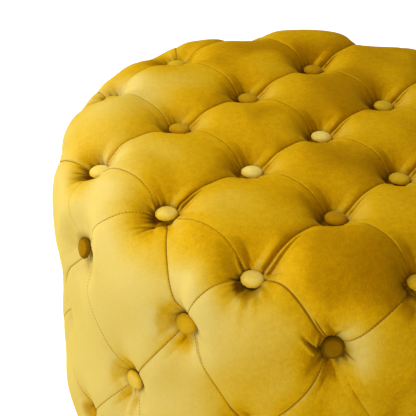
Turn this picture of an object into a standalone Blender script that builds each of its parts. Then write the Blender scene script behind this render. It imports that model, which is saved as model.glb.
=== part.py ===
"""Round stool with a buttoned velvet drum seat. Metres, +Z up, standing on the floor at the origin."""
import math

import bmesh
import bpy
from mathutils import Matrix, Vector

MM = 0.001

# Drum, measured to the plane in which the buttons lie
SEAT_RADIUS = 250.0 * MM
TOP_HEIGHT = 400.0 * MM
SHOULDER_RADIUS = 59.0 * MM
SHOULDER_SWELL = 6.0 * MM
TURN_RADIUS = 16.0 * MM
HEM_WIDTH = 26.0 * MM

# Tufting
RIM_BUTTON_INSET = 19.15 * MM
UPPER_ROW_DROP = 55.5 * MM
MIDDLE_ROW_DROP = 175.5 * MM
LOWER_ROW_DROP = 283.5 * MM
COLUMNS = 12
CORNER_SPREAD_SHARE = 1.019
TOP_RISE = 20.0 * MM
TOP_CROWN = 5.0 * MM
SIDE_RISE = 16.0 * MM
SIDE_CROWN = 6.0 * MM
PLEAT_REACH = 52.0 * MM
RISE_FADE = 105.0 * MM
FADE_POWER = 1.5
DIMPLE_RADIUS = 10.0 * MM
DIMPLE_POWER = 3.0
DIMPLE_REACH = 45.0 * MM
SWELL_START_SHARE = 0.6
CORNER_CROWN_SHARE = 0.7
SKIRT_FALL = 45.0 * MM
SKIRT_ROW_SHARE = 0.35
SKIRT_FIRST_SHARE = 0.24

# Where single buttons sit off the even lattice, as shares of its pitch: along x and y on the top,
# down the wall on the side
TOP_SET_SHARES = {
    (-3, -1): (0.0, 0.07),
    (-2, 2): (-0.05, -0.07),
    (-1, 3): (-0.01, -0.1),
    (-1, 1): (-0.04, -0.01),
    (-1, -1): (-0.01, -0.03),
    (0, -2): (0.055, 0.01),
}
UPPER_SET_SHARES = {8: 0.085}

# Cover
COVER_BACKING = 5.0 * MM
HEM_THICKNESS = 1.5 * MM
COVER_EASE = 3.2 * MM
SHOULDER_EASE = 5.5 * MM
CELL_STEP_SHARES = (0.0, 0.13, 0.35, 0.65, 0.87, 1.0)
LINING_STEP_SHARES = (0.0, 0.33, 0.67, 1.0)
SIDE_PANELS = 4

# Buttons and twine
BUTTON_DIAMETER = 24.0 * MM
BUTTON_HEIGHT = 12.0 * MM
BUTTON_RIM_HEIGHT = 7.0 * MM
TWINE_DIAMETER = 2.4 * MM
TWINE_CLEARANCE = 1.3 * MM
KNOT_DIAMETER = 11.0 * MM
KNOT_THICKNESS = 3.0 * MM
LACING_DIAMETER = 3.6 * MM
TWINE_SIDES = 8
LACING_SIDES = 4
PIN_SIDES = 4

# Foam
TOP_FOAM = 30.0 * MM
SIDE_FOAM = 18.0 * MM
FOAM_STEPS = 24

# Frame
DECK_THICKNESS = 12.0 * MM
HOOP_THICKNESS = 4.0 * MM
RING_THICKNESS = 15.0 * MM
RING_WIDTH = 72.0 * MM
POST_SIZE = 28.0 * MM
POST_INSET = 12.0 * MM
POST_COUNT = 6
FRAME_STEPS = 24

# Base
GLIDE_HEIGHT = 14.0 * MM
GLIDE_TOP_DIAMETER = 30.0 * MM
GLIDE_SOLE_DIAMETER = 25.0 * MM
GLIDE_EDGE = 2.0 * MM
GLIDE_INSET = 34.0 * MM
GLIDE_COUNT = 6
GLIDE_WELL_DIAMETER = 10.0 * MM
GLIDE_WELL_DEPTH = 8.0 * MM
SCREW_DIAMETER = 4.0 * MM
SCREW_HEAD_DIAMETER = 8.0 * MM
SCREW_HEAD_HEIGHT = 2.5 * MM
SCREW_BITE = 11.0 * MM
DUST_COVER_THICKNESS = 0.8 * MM
DUST_COVER_LAP = 14.0 * MM
DUST_COVER_SLOPE = 2.5 * MM
ROUND_STEPS = 12
SCREW_STEPS = 6

GAP = 0.3 * MM
CUT_OVERRUN = 2.0 * MM
WELD = 0.01 * MM
QUARTER = math.pi / 2.0
PITCH_ANGLE = 2.0 * math.pi / COLUMNS

# Half the step of the top's diagonal lattice, whose rim buttons lie three steps out and one across
LATTICE_PITCH = (SEAT_RADIUS - RIM_BUTTON_INSET) / math.hypot(3, 1)

# Heights from the floor up
DUST_COVER_TOP = GLIDE_HEIGHT + GAP + DUST_COVER_THICKNESS
RING_BOTTOM = DUST_COVER_TOP + GAP
RING_TOP = RING_BOTTOM + RING_THICKNESS
HEM_BOTTOM = RING_BOTTOM - GAP - HEM_THICKNESS
DECK_TOP = TOP_HEIGHT - COVER_BACKING - COVER_EASE - TOP_FOAM - GAP
DECK_BOTTOM = DECK_TOP - DECK_THICKNESS

# Radii from the cover inward
FOAM_RADIUS = SEAT_RADIUS - COVER_BACKING - COVER_EASE
HOOP_OUTER = FOAM_RADIUS - SIDE_FOAM - GAP
HOOP_INNER = HOOP_OUTER - HOOP_THICKNESS
DECK_RADIUS = HOOP_INNER - GAP
RING_INNER = DECK_RADIUS - RING_WIDTH
POST_REACH = DECK_RADIUS - POST_INSET - POST_SIZE / 2.0
GLIDE_REACH = DECK_RADIUS - GLIDE_INSET
HEM_INNER = SEAT_RADIUS - TURN_RADIUS - HEM_WIDTH

# Run of the drum's outline, from the middle of the top out over the shoulder, down and under
FLAT_RUN = SEAT_RADIUS - SHOULDER_RADIUS
WALL_RUN = FLAT_RUN + SHOULDER_RADIUS * QUARTER
TURN_RUN = WALL_RUN + TOP_HEIGHT - SHOULDER_RADIUS - HEM_BOTTOM - TURN_RADIUS
UNDER_RUN = TURN_RUN + TURN_RADIUS * QUARTER
HEM_RUN = UNDER_RUN + HEM_WIDTH


def run_at(drop):
    """Run of the outline at a drop below the top, on the straight wall or the shoulder."""
    if drop >= SHOULDER_RADIUS:
        return WALL_RUN + drop - SHOULDER_RADIUS
    return FLAT_RUN + SHOULDER_RADIUS * math.acos(1.0 - drop / SHOULDER_RADIUS)


UPPER_RUN = run_at(UPPER_ROW_DROP)
MIDDLE_RUN = run_at(MIDDLE_ROW_DROP)
LOWER_RUN = run_at(LOWER_ROW_DROP)


def clamp(value, low, high):
    return max(low, min(high, value))


def ease(value):
    """Smooth step from 0 to 1."""
    value = clamp(value, 0.0, 1.0)
    return value * value * (3.0 - 2.0 * value)


def outline(run):
    """Radius, height and tilt from upright of the button plane at a run along the outline."""
    lean = clamp((run - FLAT_RUN) / SHOULDER_RADIUS, 0.0, QUARTER)
    tuck = clamp((run - TURN_RUN) / TURN_RADIUS, 0.0, QUARTER)
    radius = min(run, FLAT_RUN) + SHOULDER_RADIUS * math.sin(lean)
    radius -= TURN_RADIUS * (1.0 - math.cos(tuck)) + max(run - UNDER_RUN, 0.0)
    height = TOP_HEIGHT - SHOULDER_RADIUS * (1.0 - math.cos(lean))
    height -= clamp(run, WALL_RUN, TURN_RUN) - WALL_RUN + TURN_RADIUS * math.sin(tuck)
    fall = 1.0 - ease((run - UPPER_RUN) / (MIDDLE_RUN - UPPER_RUN))
    start = SWELL_START_SHARE * FLAT_RUN
    radius += SHOULDER_SWELL * fall * clamp((run - start) / (FLAT_RUN - start), 0.0, 1.0)
    return radius, height, lean + tuck


def on_drum(run, angle, lift=0.0):
    """Point on the drum, lifted off the button plane along its normal."""
    radius, height, tilt = outline(run)
    radius += lift * math.sin(tilt)
    return Vector((radius * math.cos(angle), radius * math.sin(angle), height + lift * math.cos(tilt)))


def normal_at(run, angle):
    tilt = outline(run)[2]
    return Vector((math.sin(tilt) * math.cos(angle), math.sin(tilt) * math.sin(angle), math.cos(tilt)))


def backing_at(run):
    """Depth of the cover below the button plane: full on the drum, thin in the hem."""
    share = clamp((run - TURN_RUN) / (UNDER_RUN - TURN_RUN), 0.0, 1.0)
    return COVER_BACKING + (HEM_THICKNESS - COVER_BACKING) * share


def side_share(run):
    """0 on the top, 1 from the middle row down."""
    return ease((run - UPPER_RUN) / (MIDDLE_RUN - UPPER_RUN))


def fade_at(run):
    """Slow fall of the stuffing from above the lower row to nothing half way round the turn-under."""
    start = TURN_RUN - RISE_FADE
    end = (TURN_RUN + UNDER_RUN) / 2.0
    share = clamp((run - start) / (end - start), 0.0, 1.0)
    return (1.0 - share * share) ** FADE_POWER


def rise_at(run):
    return (TOP_RISE + (SIDE_RISE - TOP_RISE) * side_share(run)) * fade_at(run)


def crown_at(run):
    return (TOP_CROWN + (SIDE_CROWN - TOP_CROWN) * side_share(run)) * fade_at(run)


# Button places: each is a pair of run and angle
BUTTONS = {}
for column in range(-3, 4):
    for row in range(-3, 4):
        if (column + row) % 2:
            continue
        if column * column + row * row > 10:
            continue
        spread = CORNER_SPREAD_SHARE if abs(column) + abs(row) == 4 and abs(column) == 2 else 1.0
        set_x, set_y = TOP_SET_SHARES.get((column, row), (0.0, 0.0))
        place = Vector((column * spread + set_x, row * spread + set_y)) * LATTICE_PITCH
        BUTTONS[("top", column, row)] = (place.length, math.atan2(place.y, place.x))
for number in range(COLUMNS):
    lower = UPPER_SET_SHARES.get(number, 0.0) * LATTICE_PITCH
    BUTTONS[("upper", number)] = (UPPER_RUN + lower, PITCH_ANGLE * number)
    BUTTONS[("middle", number)] = (MIDDLE_RUN, PITCH_ANGLE * (number + 0.5))
    BUTTONS[("lower", number)] = (LOWER_RUN, PITCH_ANGLE * number)
HEM_POINTS = {("hem", number): (HEM_RUN, PITCH_ANGLE * number) for number in range(COLUMNS)}
SITES = {**BUTTONS, **HEM_POINTS}
RIM = [key for key in BUTTONS if key[0] == "top" and math.hypot(key[1], key[2]) > 2.5]
RIM.sort(key=lambda key: math.atan2(key[2], key[1]) % (2.0 * math.pi))


def along(first, second, share):
    """Run and angle at a share of the way from one site to another."""
    run_a, angle_a = SITES[first]
    run_b, angle_b = SITES[second]
    if first[0] == "top" and second[0] in ("top", "upper") or second[0] == "top" and first[0] == "upper":
        a = Vector((math.cos(angle_a), math.sin(angle_a))) * run_a
        b = Vector((math.cos(angle_b), math.sin(angle_b))) * run_b
        point = a.lerp(b, share)
        return point.length, math.atan2(point.y, point.x)
    turn = (angle_b - angle_a + math.pi) % (2.0 * math.pi) - math.pi
    return run_a + (run_b - run_a) * share, angle_a + turn * share


LENGTHS = {}


def seam_length(first, second):
    key = tuple(sorted((first, second), key=str))
    if key not in LENGTHS:
        points = [on_drum(*along(key[0], key[1], step / 8.0)) for step in range(9)]
        LENGTHS[key] = sum((b - a).length for a, b in zip(points, points[1:]))
    return LENGTHS[key]


def seam_rise(first, second, share):
    """Rise of a seam between two buttons, as a share of the full rise."""
    if first[0] == "hem" or second[0] == "hem":
        travel = (share if second[0] == "hem" else 1.0 - share) * seam_length(first, second)
        return 1.0 - clamp(1.0 - (travel - DIMPLE_RADIUS) / PLEAT_REACH, 0.0, 1.0) ** DIMPLE_POWER
    limit = 1.0 - 2.0 * DIMPLE_RADIUS / seam_length(first, second)
    return 1.0 - clamp(abs(2.0 * share - 1.0) / limit, 0.0, 1.0) ** DIMPLE_POWER


def dimple(corners, place):
    """Share of the rise left near the buttons at a panel's corners: 0 at a button, 1 past its reach."""
    here = on_drum(*place)
    share = 1.0
    for name in corners:
        if name in BUTTONS:
            away = (here - on_drum(*BUTTONS[name])).length
            share = min(share, ease(away / DIMPLE_REACH))
    return share


def flat_point(place):
    return Vector((math.cos(place[1]), math.sin(place[1]))) * place[0]


def place_of(point):
    return point.length, math.atan2(point.y, point.x)


def lozenge(corners, s, t):
    """Place and lift in a four-cornered panel; s runs from corner 0 to 1, t from 0 to 3."""
    a, b, c, d = corners
    near, far = flat_point(along(a, b, s)), flat_point(along(d, c, s))
    left, right = flat_point(along(a, d, t)), flat_point(along(b, c, t))
    pa, pb, pc, pd = [flat_point(SITES[name]) for name in corners]
    point = near * (1 - t) + far * t + left * (1 - s) + right * s
    point -= pa * (1 - s) * (1 - t) + pb * s * (1 - t) + pc * s * t + pd * (1 - s) * t
    run, angle = place_of(point)
    over = (1 - t) * seam_rise(a, b, s) + t * seam_rise(d, c, s)
    side = (1 - s) * seam_rise(a, d, t) + s * seam_rise(b, c, t)
    swell = (1.0 - (2 * s - 1) ** 2) * (1.0 - (2 * t - 1) ** 2)
    lift = rise_at(run) * (1.0 - (1.0 - over) * (1.0 - side)) + crown_at(run) * swell
    return run, angle, lift * dimple(corners, (run, angle))


def triangle(corners, shares):
    """Place and lift in a three-cornered panel, by shares of its corners."""
    points = [flat_point(SITES[name]) for name in corners]
    point = points[0] * shares[0] + points[1] * shares[1] + points[2] * shares[2]
    products = [shares[i] * shares[(i + 1) % 3] for i in range(3)]
    total = sum(products)
    lift = 0.0
    if total > 0.0:
        for i in range(3):
            share = shares[(i + 1) % 3] + shares[(i + 2) % 3] / 2.0
            lift += products[i] / total * seam_rise(corners[i], corners[(i + 1) % 3], share)
    run, angle = place_of(point)
    swell = 27.0 * shares[0] * shares[1] * shares[2]
    lift = rise_at(run) * lift + CORNER_CROWN_SHARE * crown_at(run) * swell
    return run, angle, lift * dimple(corners, (run, angle))


def skirt(number, s, run_share):
    """Place and lift in a bottom panel; run_share goes from its upper edge, 0, to the hem, 1."""
    left = ("lower", number)
    peak = ("middle", number)
    right = ("lower", (number + 1) % COLUMNS)
    if s <= 0.5:
        edge_run, edge_angle = along(left, peak, 2.0 * s)
        edge = seam_rise(left, peak, 2.0 * s)
    else:
        edge_run, edge_angle = along(peak, right, 2.0 * s - 1.0)
        edge = seam_rise(peak, right, 2.0 * s - 1.0)
    hem_angle = PITCH_ANGLE * (number + s)
    edge_angle += 2.0 * math.pi * round((hem_angle - edge_angle) / (2.0 * math.pi))
    run = edge_run + (HEM_RUN - edge_run) * run_share
    angle = edge_angle + (hem_angle - edge_angle) * run_share
    fold = seam_rise(left, ("hem", number), run_share)
    over = (1.0 - run_share) * edge + run_share
    lift = rise_at(run) * (1.0 - (1.0 - over) * (1.0 - fold))
    lift += crown_at(run) * (1.0 - (2 * s - 1) ** 2) * run_share * (2.0 - run_share)
    return run, angle, lift * dimple((left, peak, right), (run, angle))


class Shell:
    """Gathers the two faces and the edges of a cover piece."""

    def __init__(self):
        self.mesh = bmesh.new()

    def face(self, points, flip=False):
        corners = []
        for point in points:
            if not corners or (point - corners[-1]).length > WELD:
                corners.append(point)
        if (corners[0] - corners[-1]).length <= WELD:
            corners.pop()
        if flip:
            corners.reverse()
        self.mesh.faces.new([self.mesh.verts.new(point) for point in corners])

    def finish(self, name, material):
        bmesh.ops.remove_doubles(self.mesh, verts=self.mesh.verts, dist=WELD)
        bmesh.ops.recalc_face_normals(self.mesh, faces=self.mesh.faces)
        mesh = bpy.data.meshes.new(name)
        self.mesh.to_mesh(mesh)
        self.mesh.free()
        mesh.shade_smooth()
        mesh.set_sharp_from_angle(angle=math.radians(50.0))
        return new_object(name, mesh, material)


def raise_place(place, lining):
    run, angle, lift = place
    if lining:
        return on_drum(run, angle, -backing_at(run))
    return on_drum(run, angle, lift)


HOLE_RADIUS = TWINE_DIAMETER / 2.0 + TWINE_CLEARANCE


def ring_points(button, before, after, lining):
    """Three points on a twine hole's edge: on the seam before, half way, on the seam after."""
    run, angle = SITES[button]
    depth = -backing_at(run) if lining else 0.0
    middle = on_drum(run, angle, depth)
    arms = []
    for other in (before, after):
        share = HOLE_RADIUS / seam_length(button, other)
        arms.append((on_drum(*along(button, other, share), depth) - middle).normalized())
    between = (arms[0] + arms[1]).normalized()
    return [middle + arm * HOLE_RADIUS for arm in (arms[0], between, arms[1])]


class Panel:
    """One panel of the cover: a grid of points whose corners are cut by twine holes."""

    def __init__(self, shell, parted):
        self.shell = shell
        self.parted = parted
        self.centre = None

    def off_seam(self, point, seam):
        """Point drawn half the gap off a seam at which the cover is parted."""
        if frozenset(seam) not in self.parted:
            return point
        return point + (self.centre - point).normalized() * GAP / 2.0

    def ring(self, button, before, after, lining):
        first, middle, last = ring_points(button, before, after, lining)
        return [self.off_seam(first, (button, before)), middle, self.off_seam(last, (button, after))]

    def ring_wall(self, button, before, after):
        outer = self.ring(button, before, after, False)
        inner = self.ring(button, before, after, True)
        for i in range(2):
            self.shell.face([outer[i], outer[i + 1], inner[i + 1], inner[i]])

    def seam_wall(self, seam, place):
        """Strip between the two faces along a parted seam, cut alike from both of its sides."""
        first, last = sorted(seam, key=str)
        lines = []
        for lining, shares in ((False, CELL_STEP_SHARES), (True, LINING_STEP_SHARES)):
            line = []
            for share in shares:
                if share == 0.0 and first[0] != "hem":
                    point = ring_points(first, last, last, lining)[0]
                elif share == 1.0 and last[0] != "hem":
                    point = ring_points(last, first, first, lining)[0]
                else:
                    point = raise_place(place(first, last, share), lining)
                line.append((share, self.off_seam(point, seam)))
            lines.append(line)
        self.strip(lines[0], lines[1])

    def strip(self, outer, inner):
        i = j = 0
        while i < len(outer) - 1 or j < len(inner) - 1:
            if j == len(inner) - 1 or i < len(outer) - 1 and outer[i + 1][0] <= inner[j + 1][0]:
                self.shell.face([outer[i][1], outer[i + 1][1], inner[j][1]])
                i += 1
            else:
                self.shell.face([outer[i][1], inner[j + 1][1], inner[j][1]])
                j += 1


def seam_place(first, last, share):
    run, angle = along(first, last, share)
    lift = rise_at(run) * seam_rise(first, last, share)
    return run, angle, lift * dimple((first, last), (run, angle))


def add_lozenge(shell, corners, parted):
    panel = Panel(shell, parted)
    panel.centre = raise_place(lozenge(corners, 0.5, 0.5), False)
    seams = [(corners[i], corners[(i + 1) % 4]) for i in range(4)]
    for lining, shares in ((False, CELL_STEP_SHARES), (True, LINING_STEP_SHARES)):
        last = len(shares) - 1
        edges = ((lambda i, j: j == 0), (lambda i, j: i == last), (lambda i, j: j == last), (lambda i, j: i == 0))
        rings = {}
        for index, key in enumerate(((0, 0), (last, 0), (last, last), (0, last))):
            rings[key] = panel.ring(corners[index], corners[index - 1], corners[(index + 1) % 4], lining)
        points = {}
        for i, s in enumerate(shares):
            for j, t in enumerate(shares):
                point = raise_place(lozenge(corners, s, t), lining)
                for on_edge, seam in zip(edges, seams):
                    if on_edge(i, j) and (i, j) not in rings:
                        point = panel.off_seam(point, seam)
                points[i, j] = [point]
        points.update(rings)
        for i in range(last):
            for j in range(last):
                loop = points[i, j] + points[i + 1, j] + points[i + 1, j + 1] + points[i, j + 1]
                shell.face(loop, lining)
    for index, button in enumerate(corners):
        panel.ring_wall(button, corners[index - 1], corners[(index + 1) % 4])
    for seam in seams:
        if frozenset(seam) in parted:
            panel.seam_wall(seam, seam_place)


def add_triangle(shell, corners, parted):
    panel = Panel(shell, parted)
    third = 1.0 / 3.0
    panel.centre = raise_place(triangle(corners, (third, third, third)), False)
    for lining, shares in ((False, CELL_STEP_SHARES), (True, LINING_STEP_SHARES)):
        last = len(shares) - 1
        points = {}
        for i in range(last + 1):
            for j in range(last + 1 - i):
                steps = (shares[i], shares[j], shares[last - i - j])
                total = sum(steps)
                point = raise_place(triangle(corners, [step / total for step in steps]), lining)
                counts = (i, j, last - i - j)
                for index in range(3):
                    if counts[index - 1] == 0:
                        point = panel.off_seam(point, (corners[index], corners[(index + 1) % 3]))
                points[i, j] = [point]
        for index, key in enumerate(((last, 0), (0, last), (0, 0))):
            points[key] = panel.ring(corners[index], corners[index - 1], corners[(index + 1) % 3], lining)
        for i in range(last):
            for j in range(last - i):
                shell.face(points[i + 1, j] + points[i, j + 1] + points[i, j], lining)
                if i + j < last - 1:
                    shell.face(points[i + 1, j] + points[i + 1, j + 1] + points[i, j + 1], lining)
    for index, button in enumerate(corners):
        panel.ring_wall(button, corners[index - 1], corners[(index + 1) % 3])
        seam = (button, corners[(index + 1) % 3])
        if frozenset(seam) in parted:
            panel.seam_wall(seam, seam_place)


def skirt_rows(edge_run, lining):
    """Runs of a bottom panel's rows, from its upper edge to the hem."""
    fall = TURN_RUN - SKIRT_FALL
    middle = (TURN_RUN + UNDER_RUN) / 2.0
    if lining:
        return [edge_run, TURN_RUN, middle, UNDER_RUN, HEM_RUN]
    low = TURN_RUN - SKIRT_ROW_SHARE * SKIRT_FALL
    high = edge_run + SKIRT_FIRST_SHARE * (fall - edge_run)
    return [edge_run, high, fall, low, middle, UNDER_RUN, HEM_RUN]


def add_skirt(shell, number, parted):
    panel = Panel(shell, parted)
    left = ("lower", number)
    peak = ("middle", number)
    right = ("lower", (number + 1) % COLUMNS)
    hem_left = ("hem", number)
    hem_right = ("hem", (number + 1) % COLUMNS)
    panel.centre = raise_place(skirt(number, 0.5, 0.5), False)
    side_lines = {}
    hem_lines = []
    for lining, shares in ((False, CELL_STEP_SHARES), (True, LINING_STEP_SHARES)):
        half = len(shares) - 1
        across = [share / 2.0 for share in shares] + [0.5 + share / 2.0 for share in shares[1:]]
        points = {}
        for i, s in enumerate(across):
            edge_run = skirt(number, s, 0.0)[0]
            rows = skirt_rows(edge_run, lining)
            for j, run in enumerate(rows):
                share = (run - edge_run) / (HEM_RUN - edge_run)
                point = raise_place(skirt(number, s, share), lining)
                if i == 0:
                    point = panel.off_seam(point, (left, hem_left))
                if i == 2 * half:
                    point = panel.off_seam(point, (right, hem_right))
                if j == 0 and i < half:
                    point = panel.off_seam(point, (left, peak))
                if j == 0 and i > half:
                    point = panel.off_seam(point, (peak, right))
                points[i, j] = [point]
        rows = len(rows) - 1
        points[0, 0] = panel.ring(left, hem_left, peak, lining)
        points[2 * half, 0] = panel.ring(right, peak, hem_right, lining)
        ring = panel.ring(peak, left, right, lining)
        for i in range(2 * half):
            for j in range(rows):
                first, second = points[i, j], points[i + 1, j]
                if j == 0 and i == half:
                    first = ring[1:]
                if j == 0 and i == half - 1:
                    second = ring[:2]
                shell.face(first + second + points[i + 1, j + 1] + points[i, j + 1], lining)
        hem_lines.append([(s, points[i, rows][0]) for i, s in enumerate(across)])
        for seam, i, pick in (((left, hem_left), 0, 0), ((right, hem_right), 2 * half, 2)):
            line = [(0.0, points[i, 0][pick])]
            for j in range(1, rows + 1):
                run = skirt_rows(LOWER_RUN, lining)[j]
                line.append(((run - LOWER_RUN) / (HEM_RUN - LOWER_RUN), points[i, j][0]))
            side_lines.setdefault(seam, []).append(line)
    panel.strip(hem_lines[0], hem_lines[1])
    panel.ring_wall(left, hem_left, peak)
    panel.ring_wall(peak, left, right)
    panel.ring_wall(right, peak, hem_right)
    for seam in ((left, peak), (peak, right)):
        if frozenset(seam) in parted:
            panel.seam_wall(seam, seam_place)
    for seam, lines in side_lines.items():
        if frozenset(seam) in parted:
            panel.strip(lines[0], lines[1])


def scene_reset():
    for item in list(bpy.data.objects):
        bpy.data.objects.remove(item, do_unlink=True)


def new_collection(name):
    group = bpy.data.collections.new(name)
    bpy.context.scene.collection.children.link(group)
    return group


scene_reset()
STOOL = new_collection("tufted_stool")
CUTTERS = new_collection("cutters")
AXIS = bpy.data.objects.new("stool_axis", None)
STOOL.objects.link(AXIS)


def make_material(name, color, roughness, metallic=0.0):
    material = bpy.data.materials.new(name)
    material.use_nodes = True
    shader = material.node_tree.nodes["Principled BSDF"]
    shader.inputs["Base Color"].default_value = (*color, 1.0)
    shader.inputs["Roughness"].default_value = roughness
    shader.inputs["Metallic"].default_value = metallic
    material.diffuse_color = (*color, 1.0)
    return material


VELVET_TOP = make_material("velvet_top", (0.62, 0.40, 0.04), 0.8)
VELVET_SIDE = make_material("velvet_side", (0.70, 0.48, 0.07), 0.8)
VELVET_BUTTON = make_material("velvet_button", (0.74, 0.52, 0.09), 0.75)
FOAM = make_material("foam", (0.86, 0.82, 0.66), 0.95)
PLYWOOD = make_material("plywood", (0.62, 0.45, 0.27), 0.7)
HARDBOARD = make_material("hardboard", (0.33, 0.2, 0.1), 0.75)
PINE = make_material("pine", (0.76, 0.58, 0.34), 0.65)
NON_WOVEN = make_material("non_woven", (0.03, 0.03, 0.032), 0.95)
GLIDE_PLASTIC = make_material("glide_plastic", (0.035, 0.034, 0.033), 0.45)
ZINC = make_material("zinc", (0.6, 0.6, 0.58), 0.35, 1.0)


def new_object(name, mesh, material, group=None):
    item = bpy.data.objects.new(name, mesh)
    if material is not None:
        mesh.materials.clear()
        mesh.materials.append(material)
    (group or STOOL).objects.link(item)
    if group is None:
        item.parent = AXIS
    return item


def turned_mesh(name, profile, steps):
    """Mesh of a closed turned shape from its outline, given as radius and height."""
    mesh = bpy.data.meshes.new(name)
    closed = profile[0][0] > 0.0 or profile[-1][0] > 0.0
    edges = [(i, i + 1) for i in range(len(profile) - 1)]
    if closed:
        edges.append((len(profile) - 1, 0))
    mesh.from_pydata([(radius, 0.0, height) for radius, height in profile], edges, [])
    return mesh


def turned(name, profile, steps, material, group=None):
    item = new_object(name, turned_mesh(name, profile, steps), material, group)
    screw = item.modifiers.new("turn", "SCREW")
    screw.axis = "Z"
    screw.steps = steps
    screw.render_steps = steps
    screw.use_merge_vertices = True
    screw.merge_threshold = WELD
    screw.use_normal_calculate = False
    screw.use_smooth_shade = True
    return item


def upright_to(start, end):
    """Placement whose +Z points from end to start, with its origin at start."""
    turn = (start - end).to_track_quat("Z", "Y")
    return Matrix.Translation(start) @ turn.to_matrix().to_4x4()


def cut(target, cutter, name):
    boolean = target.modifiers.new(name, "BOOLEAN")
    boolean.operation = "DIFFERENCE"
    boolean.solver = "EXACT"
    boolean.object = cutter


def pins(name, lines, radius, sides):
    """One cutter made of straight pins, each given by its two ends."""
    mesh = bmesh.new()
    for start, end in lines:
        reach = (start - end).length
        place = upright_to(start, end) @ Matrix.Translation((0.0, 0.0, -reach / 2.0))
        place = place @ Matrix.Rotation(math.pi / sides, 4, "Z")
        bmesh.ops.create_cone(mesh, cap_ends=True, segments=sides, radius1=radius, radius2=radius,
                              depth=reach, matrix=place)
    data = bpy.data.meshes.new(name)
    mesh.to_mesh(data)
    mesh.free()
    cutter = new_object(name, data, None, CUTTERS)
    cutter.hide_render = True
    cutter.display_type = "WIRE"
    return cutter


# Covers
def top_parting():
    seams = set()
    for number in range(COLUMNS):
        seams.add(frozenset((RIM[number], ("upper", number))))
        seams.add(frozenset((RIM[number], ("upper", (number + 1) % COLUMNS))))
    return seams


def top_corner(column, row):
    """Button at a place of the lattice; past the rim, on the two axes, it is one of the upper row."""
    if ("top", column, row) not in BUTTONS and column * row == 0:
        return ("upper", round(math.atan2(row, column) / PITCH_ANGLE) % COLUMNS)
    return ("top", column, row)


def make_top_cover():
    shell = Shell()
    parted = top_parting()
    for column in range(-3, 4):
        for row in range(-3, 4):
            if (column + row) % 2 == 0:
                continue
            around = ((column + 1, row), (column, row + 1), (column - 1, row), (column, row - 1))
            corners = [top_corner(*place) for place in around]
            if all(name in BUTTONS for name in corners):
                add_lozenge(shell, corners, parted)
    for number in range(COLUMNS):
        following = (number + 1) % COLUMNS
        if following % (COLUMNS // 4) == 0:
            continue
        add_triangle(shell, (RIM[following], RIM[number], ("upper", following)), parted)
    return shell.finish("top_cover", VELVET_TOP)


def make_side_cover(panel_number):
    shell = Shell()
    count = COLUMNS // SIDE_PANELS
    first = panel_number * count
    parted = top_parting()
    for start in (first, (first + count) % COLUMNS):
        before = (start - 1) % COLUMNS
        parted.add(frozenset((("middle", before), ("upper", start))))
        parted.add(frozenset((("middle", before), ("lower", start))))
        parted.add(frozenset((("lower", start), ("hem", start))))
    for number in range(first, first + count):
        before = (number - 1) % COLUMNS
        after = (number + 1) % COLUMNS
        add_lozenge(shell, (RIM[number], ("upper", number), ("middle", number), ("upper", after)), parted)
        lower = (("upper", number), ("middle", before), ("lower", number), ("middle", number))
        add_lozenge(shell, lower, parted)
        add_skirt(shell, number, parted)
    return shell.finish("side_cover_" + str(panel_number + 1), VELVET_SIDE)


make_top_cover()
for cover_number in range(SIDE_PANELS):
    make_side_cover(cover_number)


# Foam, following the drum's outline at its own depth
def foam_point(run):
    lean = clamp((run - FLAT_RUN) / SHOULDER_RADIUS, 0.0, QUARTER)
    depth = backing_at(run) + COVER_EASE + SHOULDER_EASE * math.sin(2.0 * lean)
    point = on_drum(run, 0.0, -depth)
    return point.x, point.z


def foam_run(height):
    """Run at which the foam's outline comes down to a height."""
    low, high = 0.0, TURN_RUN
    for _ in range(60):
        middle = (low + high) / 2.0
        if foam_point(middle)[1] > height:
            low = middle
        else:
            high = middle
    return low


def foam_line(start, end, count):
    return [foam_point(start + (end - start) * step / count) for step in range(count + 1)]


PAD_BOTTOM = DECK_TOP + GAP
pad_end = foam_run(PAD_BOTTOM)
wrap_start = foam_run(DECK_TOP)
pad_profile = [(0.0, foam_point(0.0)[1])]
pad_profile += foam_line(SWELL_START_SHARE * FLAT_RUN, FLAT_RUN, 1)
pad_profile += foam_line(FLAT_RUN, pad_end, 4)[1:]
pad_profile.append((0.0, PAD_BOTTOM))
top_foam = turned("top_foam", pad_profile, FOAM_STEPS, FOAM)
wrap_inner = HOOP_OUTER + GAP
wrap_profile = foam_line(wrap_start, WALL_RUN, 3)
wrap_profile += foam_line(WALL_RUN, MIDDLE_RUN, 3)[1:] + foam_line(TURN_RUN, UNDER_RUN, 2)
wrap_profile += [(wrap_inner, wrap_profile[-1][1]), (wrap_inner, DECK_TOP)]
side_foam = turned("side_foam", wrap_profile, FOAM_STEPS, FOAM)

# Frame
deck_profile = [(0.0, DECK_TOP), (DECK_RADIUS, DECK_TOP), (DECK_RADIUS, DECK_BOTTOM), (0.0, DECK_BOTTOM)]
seat_deck = turned("seat_deck", deck_profile, FRAME_STEPS, PLYWOOD)
hoop_profile = [(HOOP_OUTER, DECK_TOP), (HOOP_OUTER, RING_BOTTOM), (HOOP_INNER, RING_BOTTOM), (HOOP_INNER, DECK_TOP)]
drum_hoop = turned("drum_hoop", hoop_profile, FRAME_STEPS, HARDBOARD)
ring_profile = [(DECK_RADIUS, RING_TOP), (DECK_RADIUS, RING_BOTTOM), (RING_INNER, RING_BOTTOM), (RING_INNER, RING_TOP)]
base_ring = turned("base_ring", ring_profile, FRAME_STEPS, PLYWOOD)
post_height = DECK_BOTTOM - RING_TOP - 2.0 * GAP
post_builder = bmesh.new()
bmesh.ops.create_cube(post_builder, size=1.0, matrix=Matrix.Diagonal((POST_SIZE, POST_SIZE, post_height, 1.0)))
post_mesh = bpy.data.meshes.new("post")
post_builder.to_mesh(post_mesh)
post_builder.free()
post_mesh.materials.append(PINE)
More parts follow.
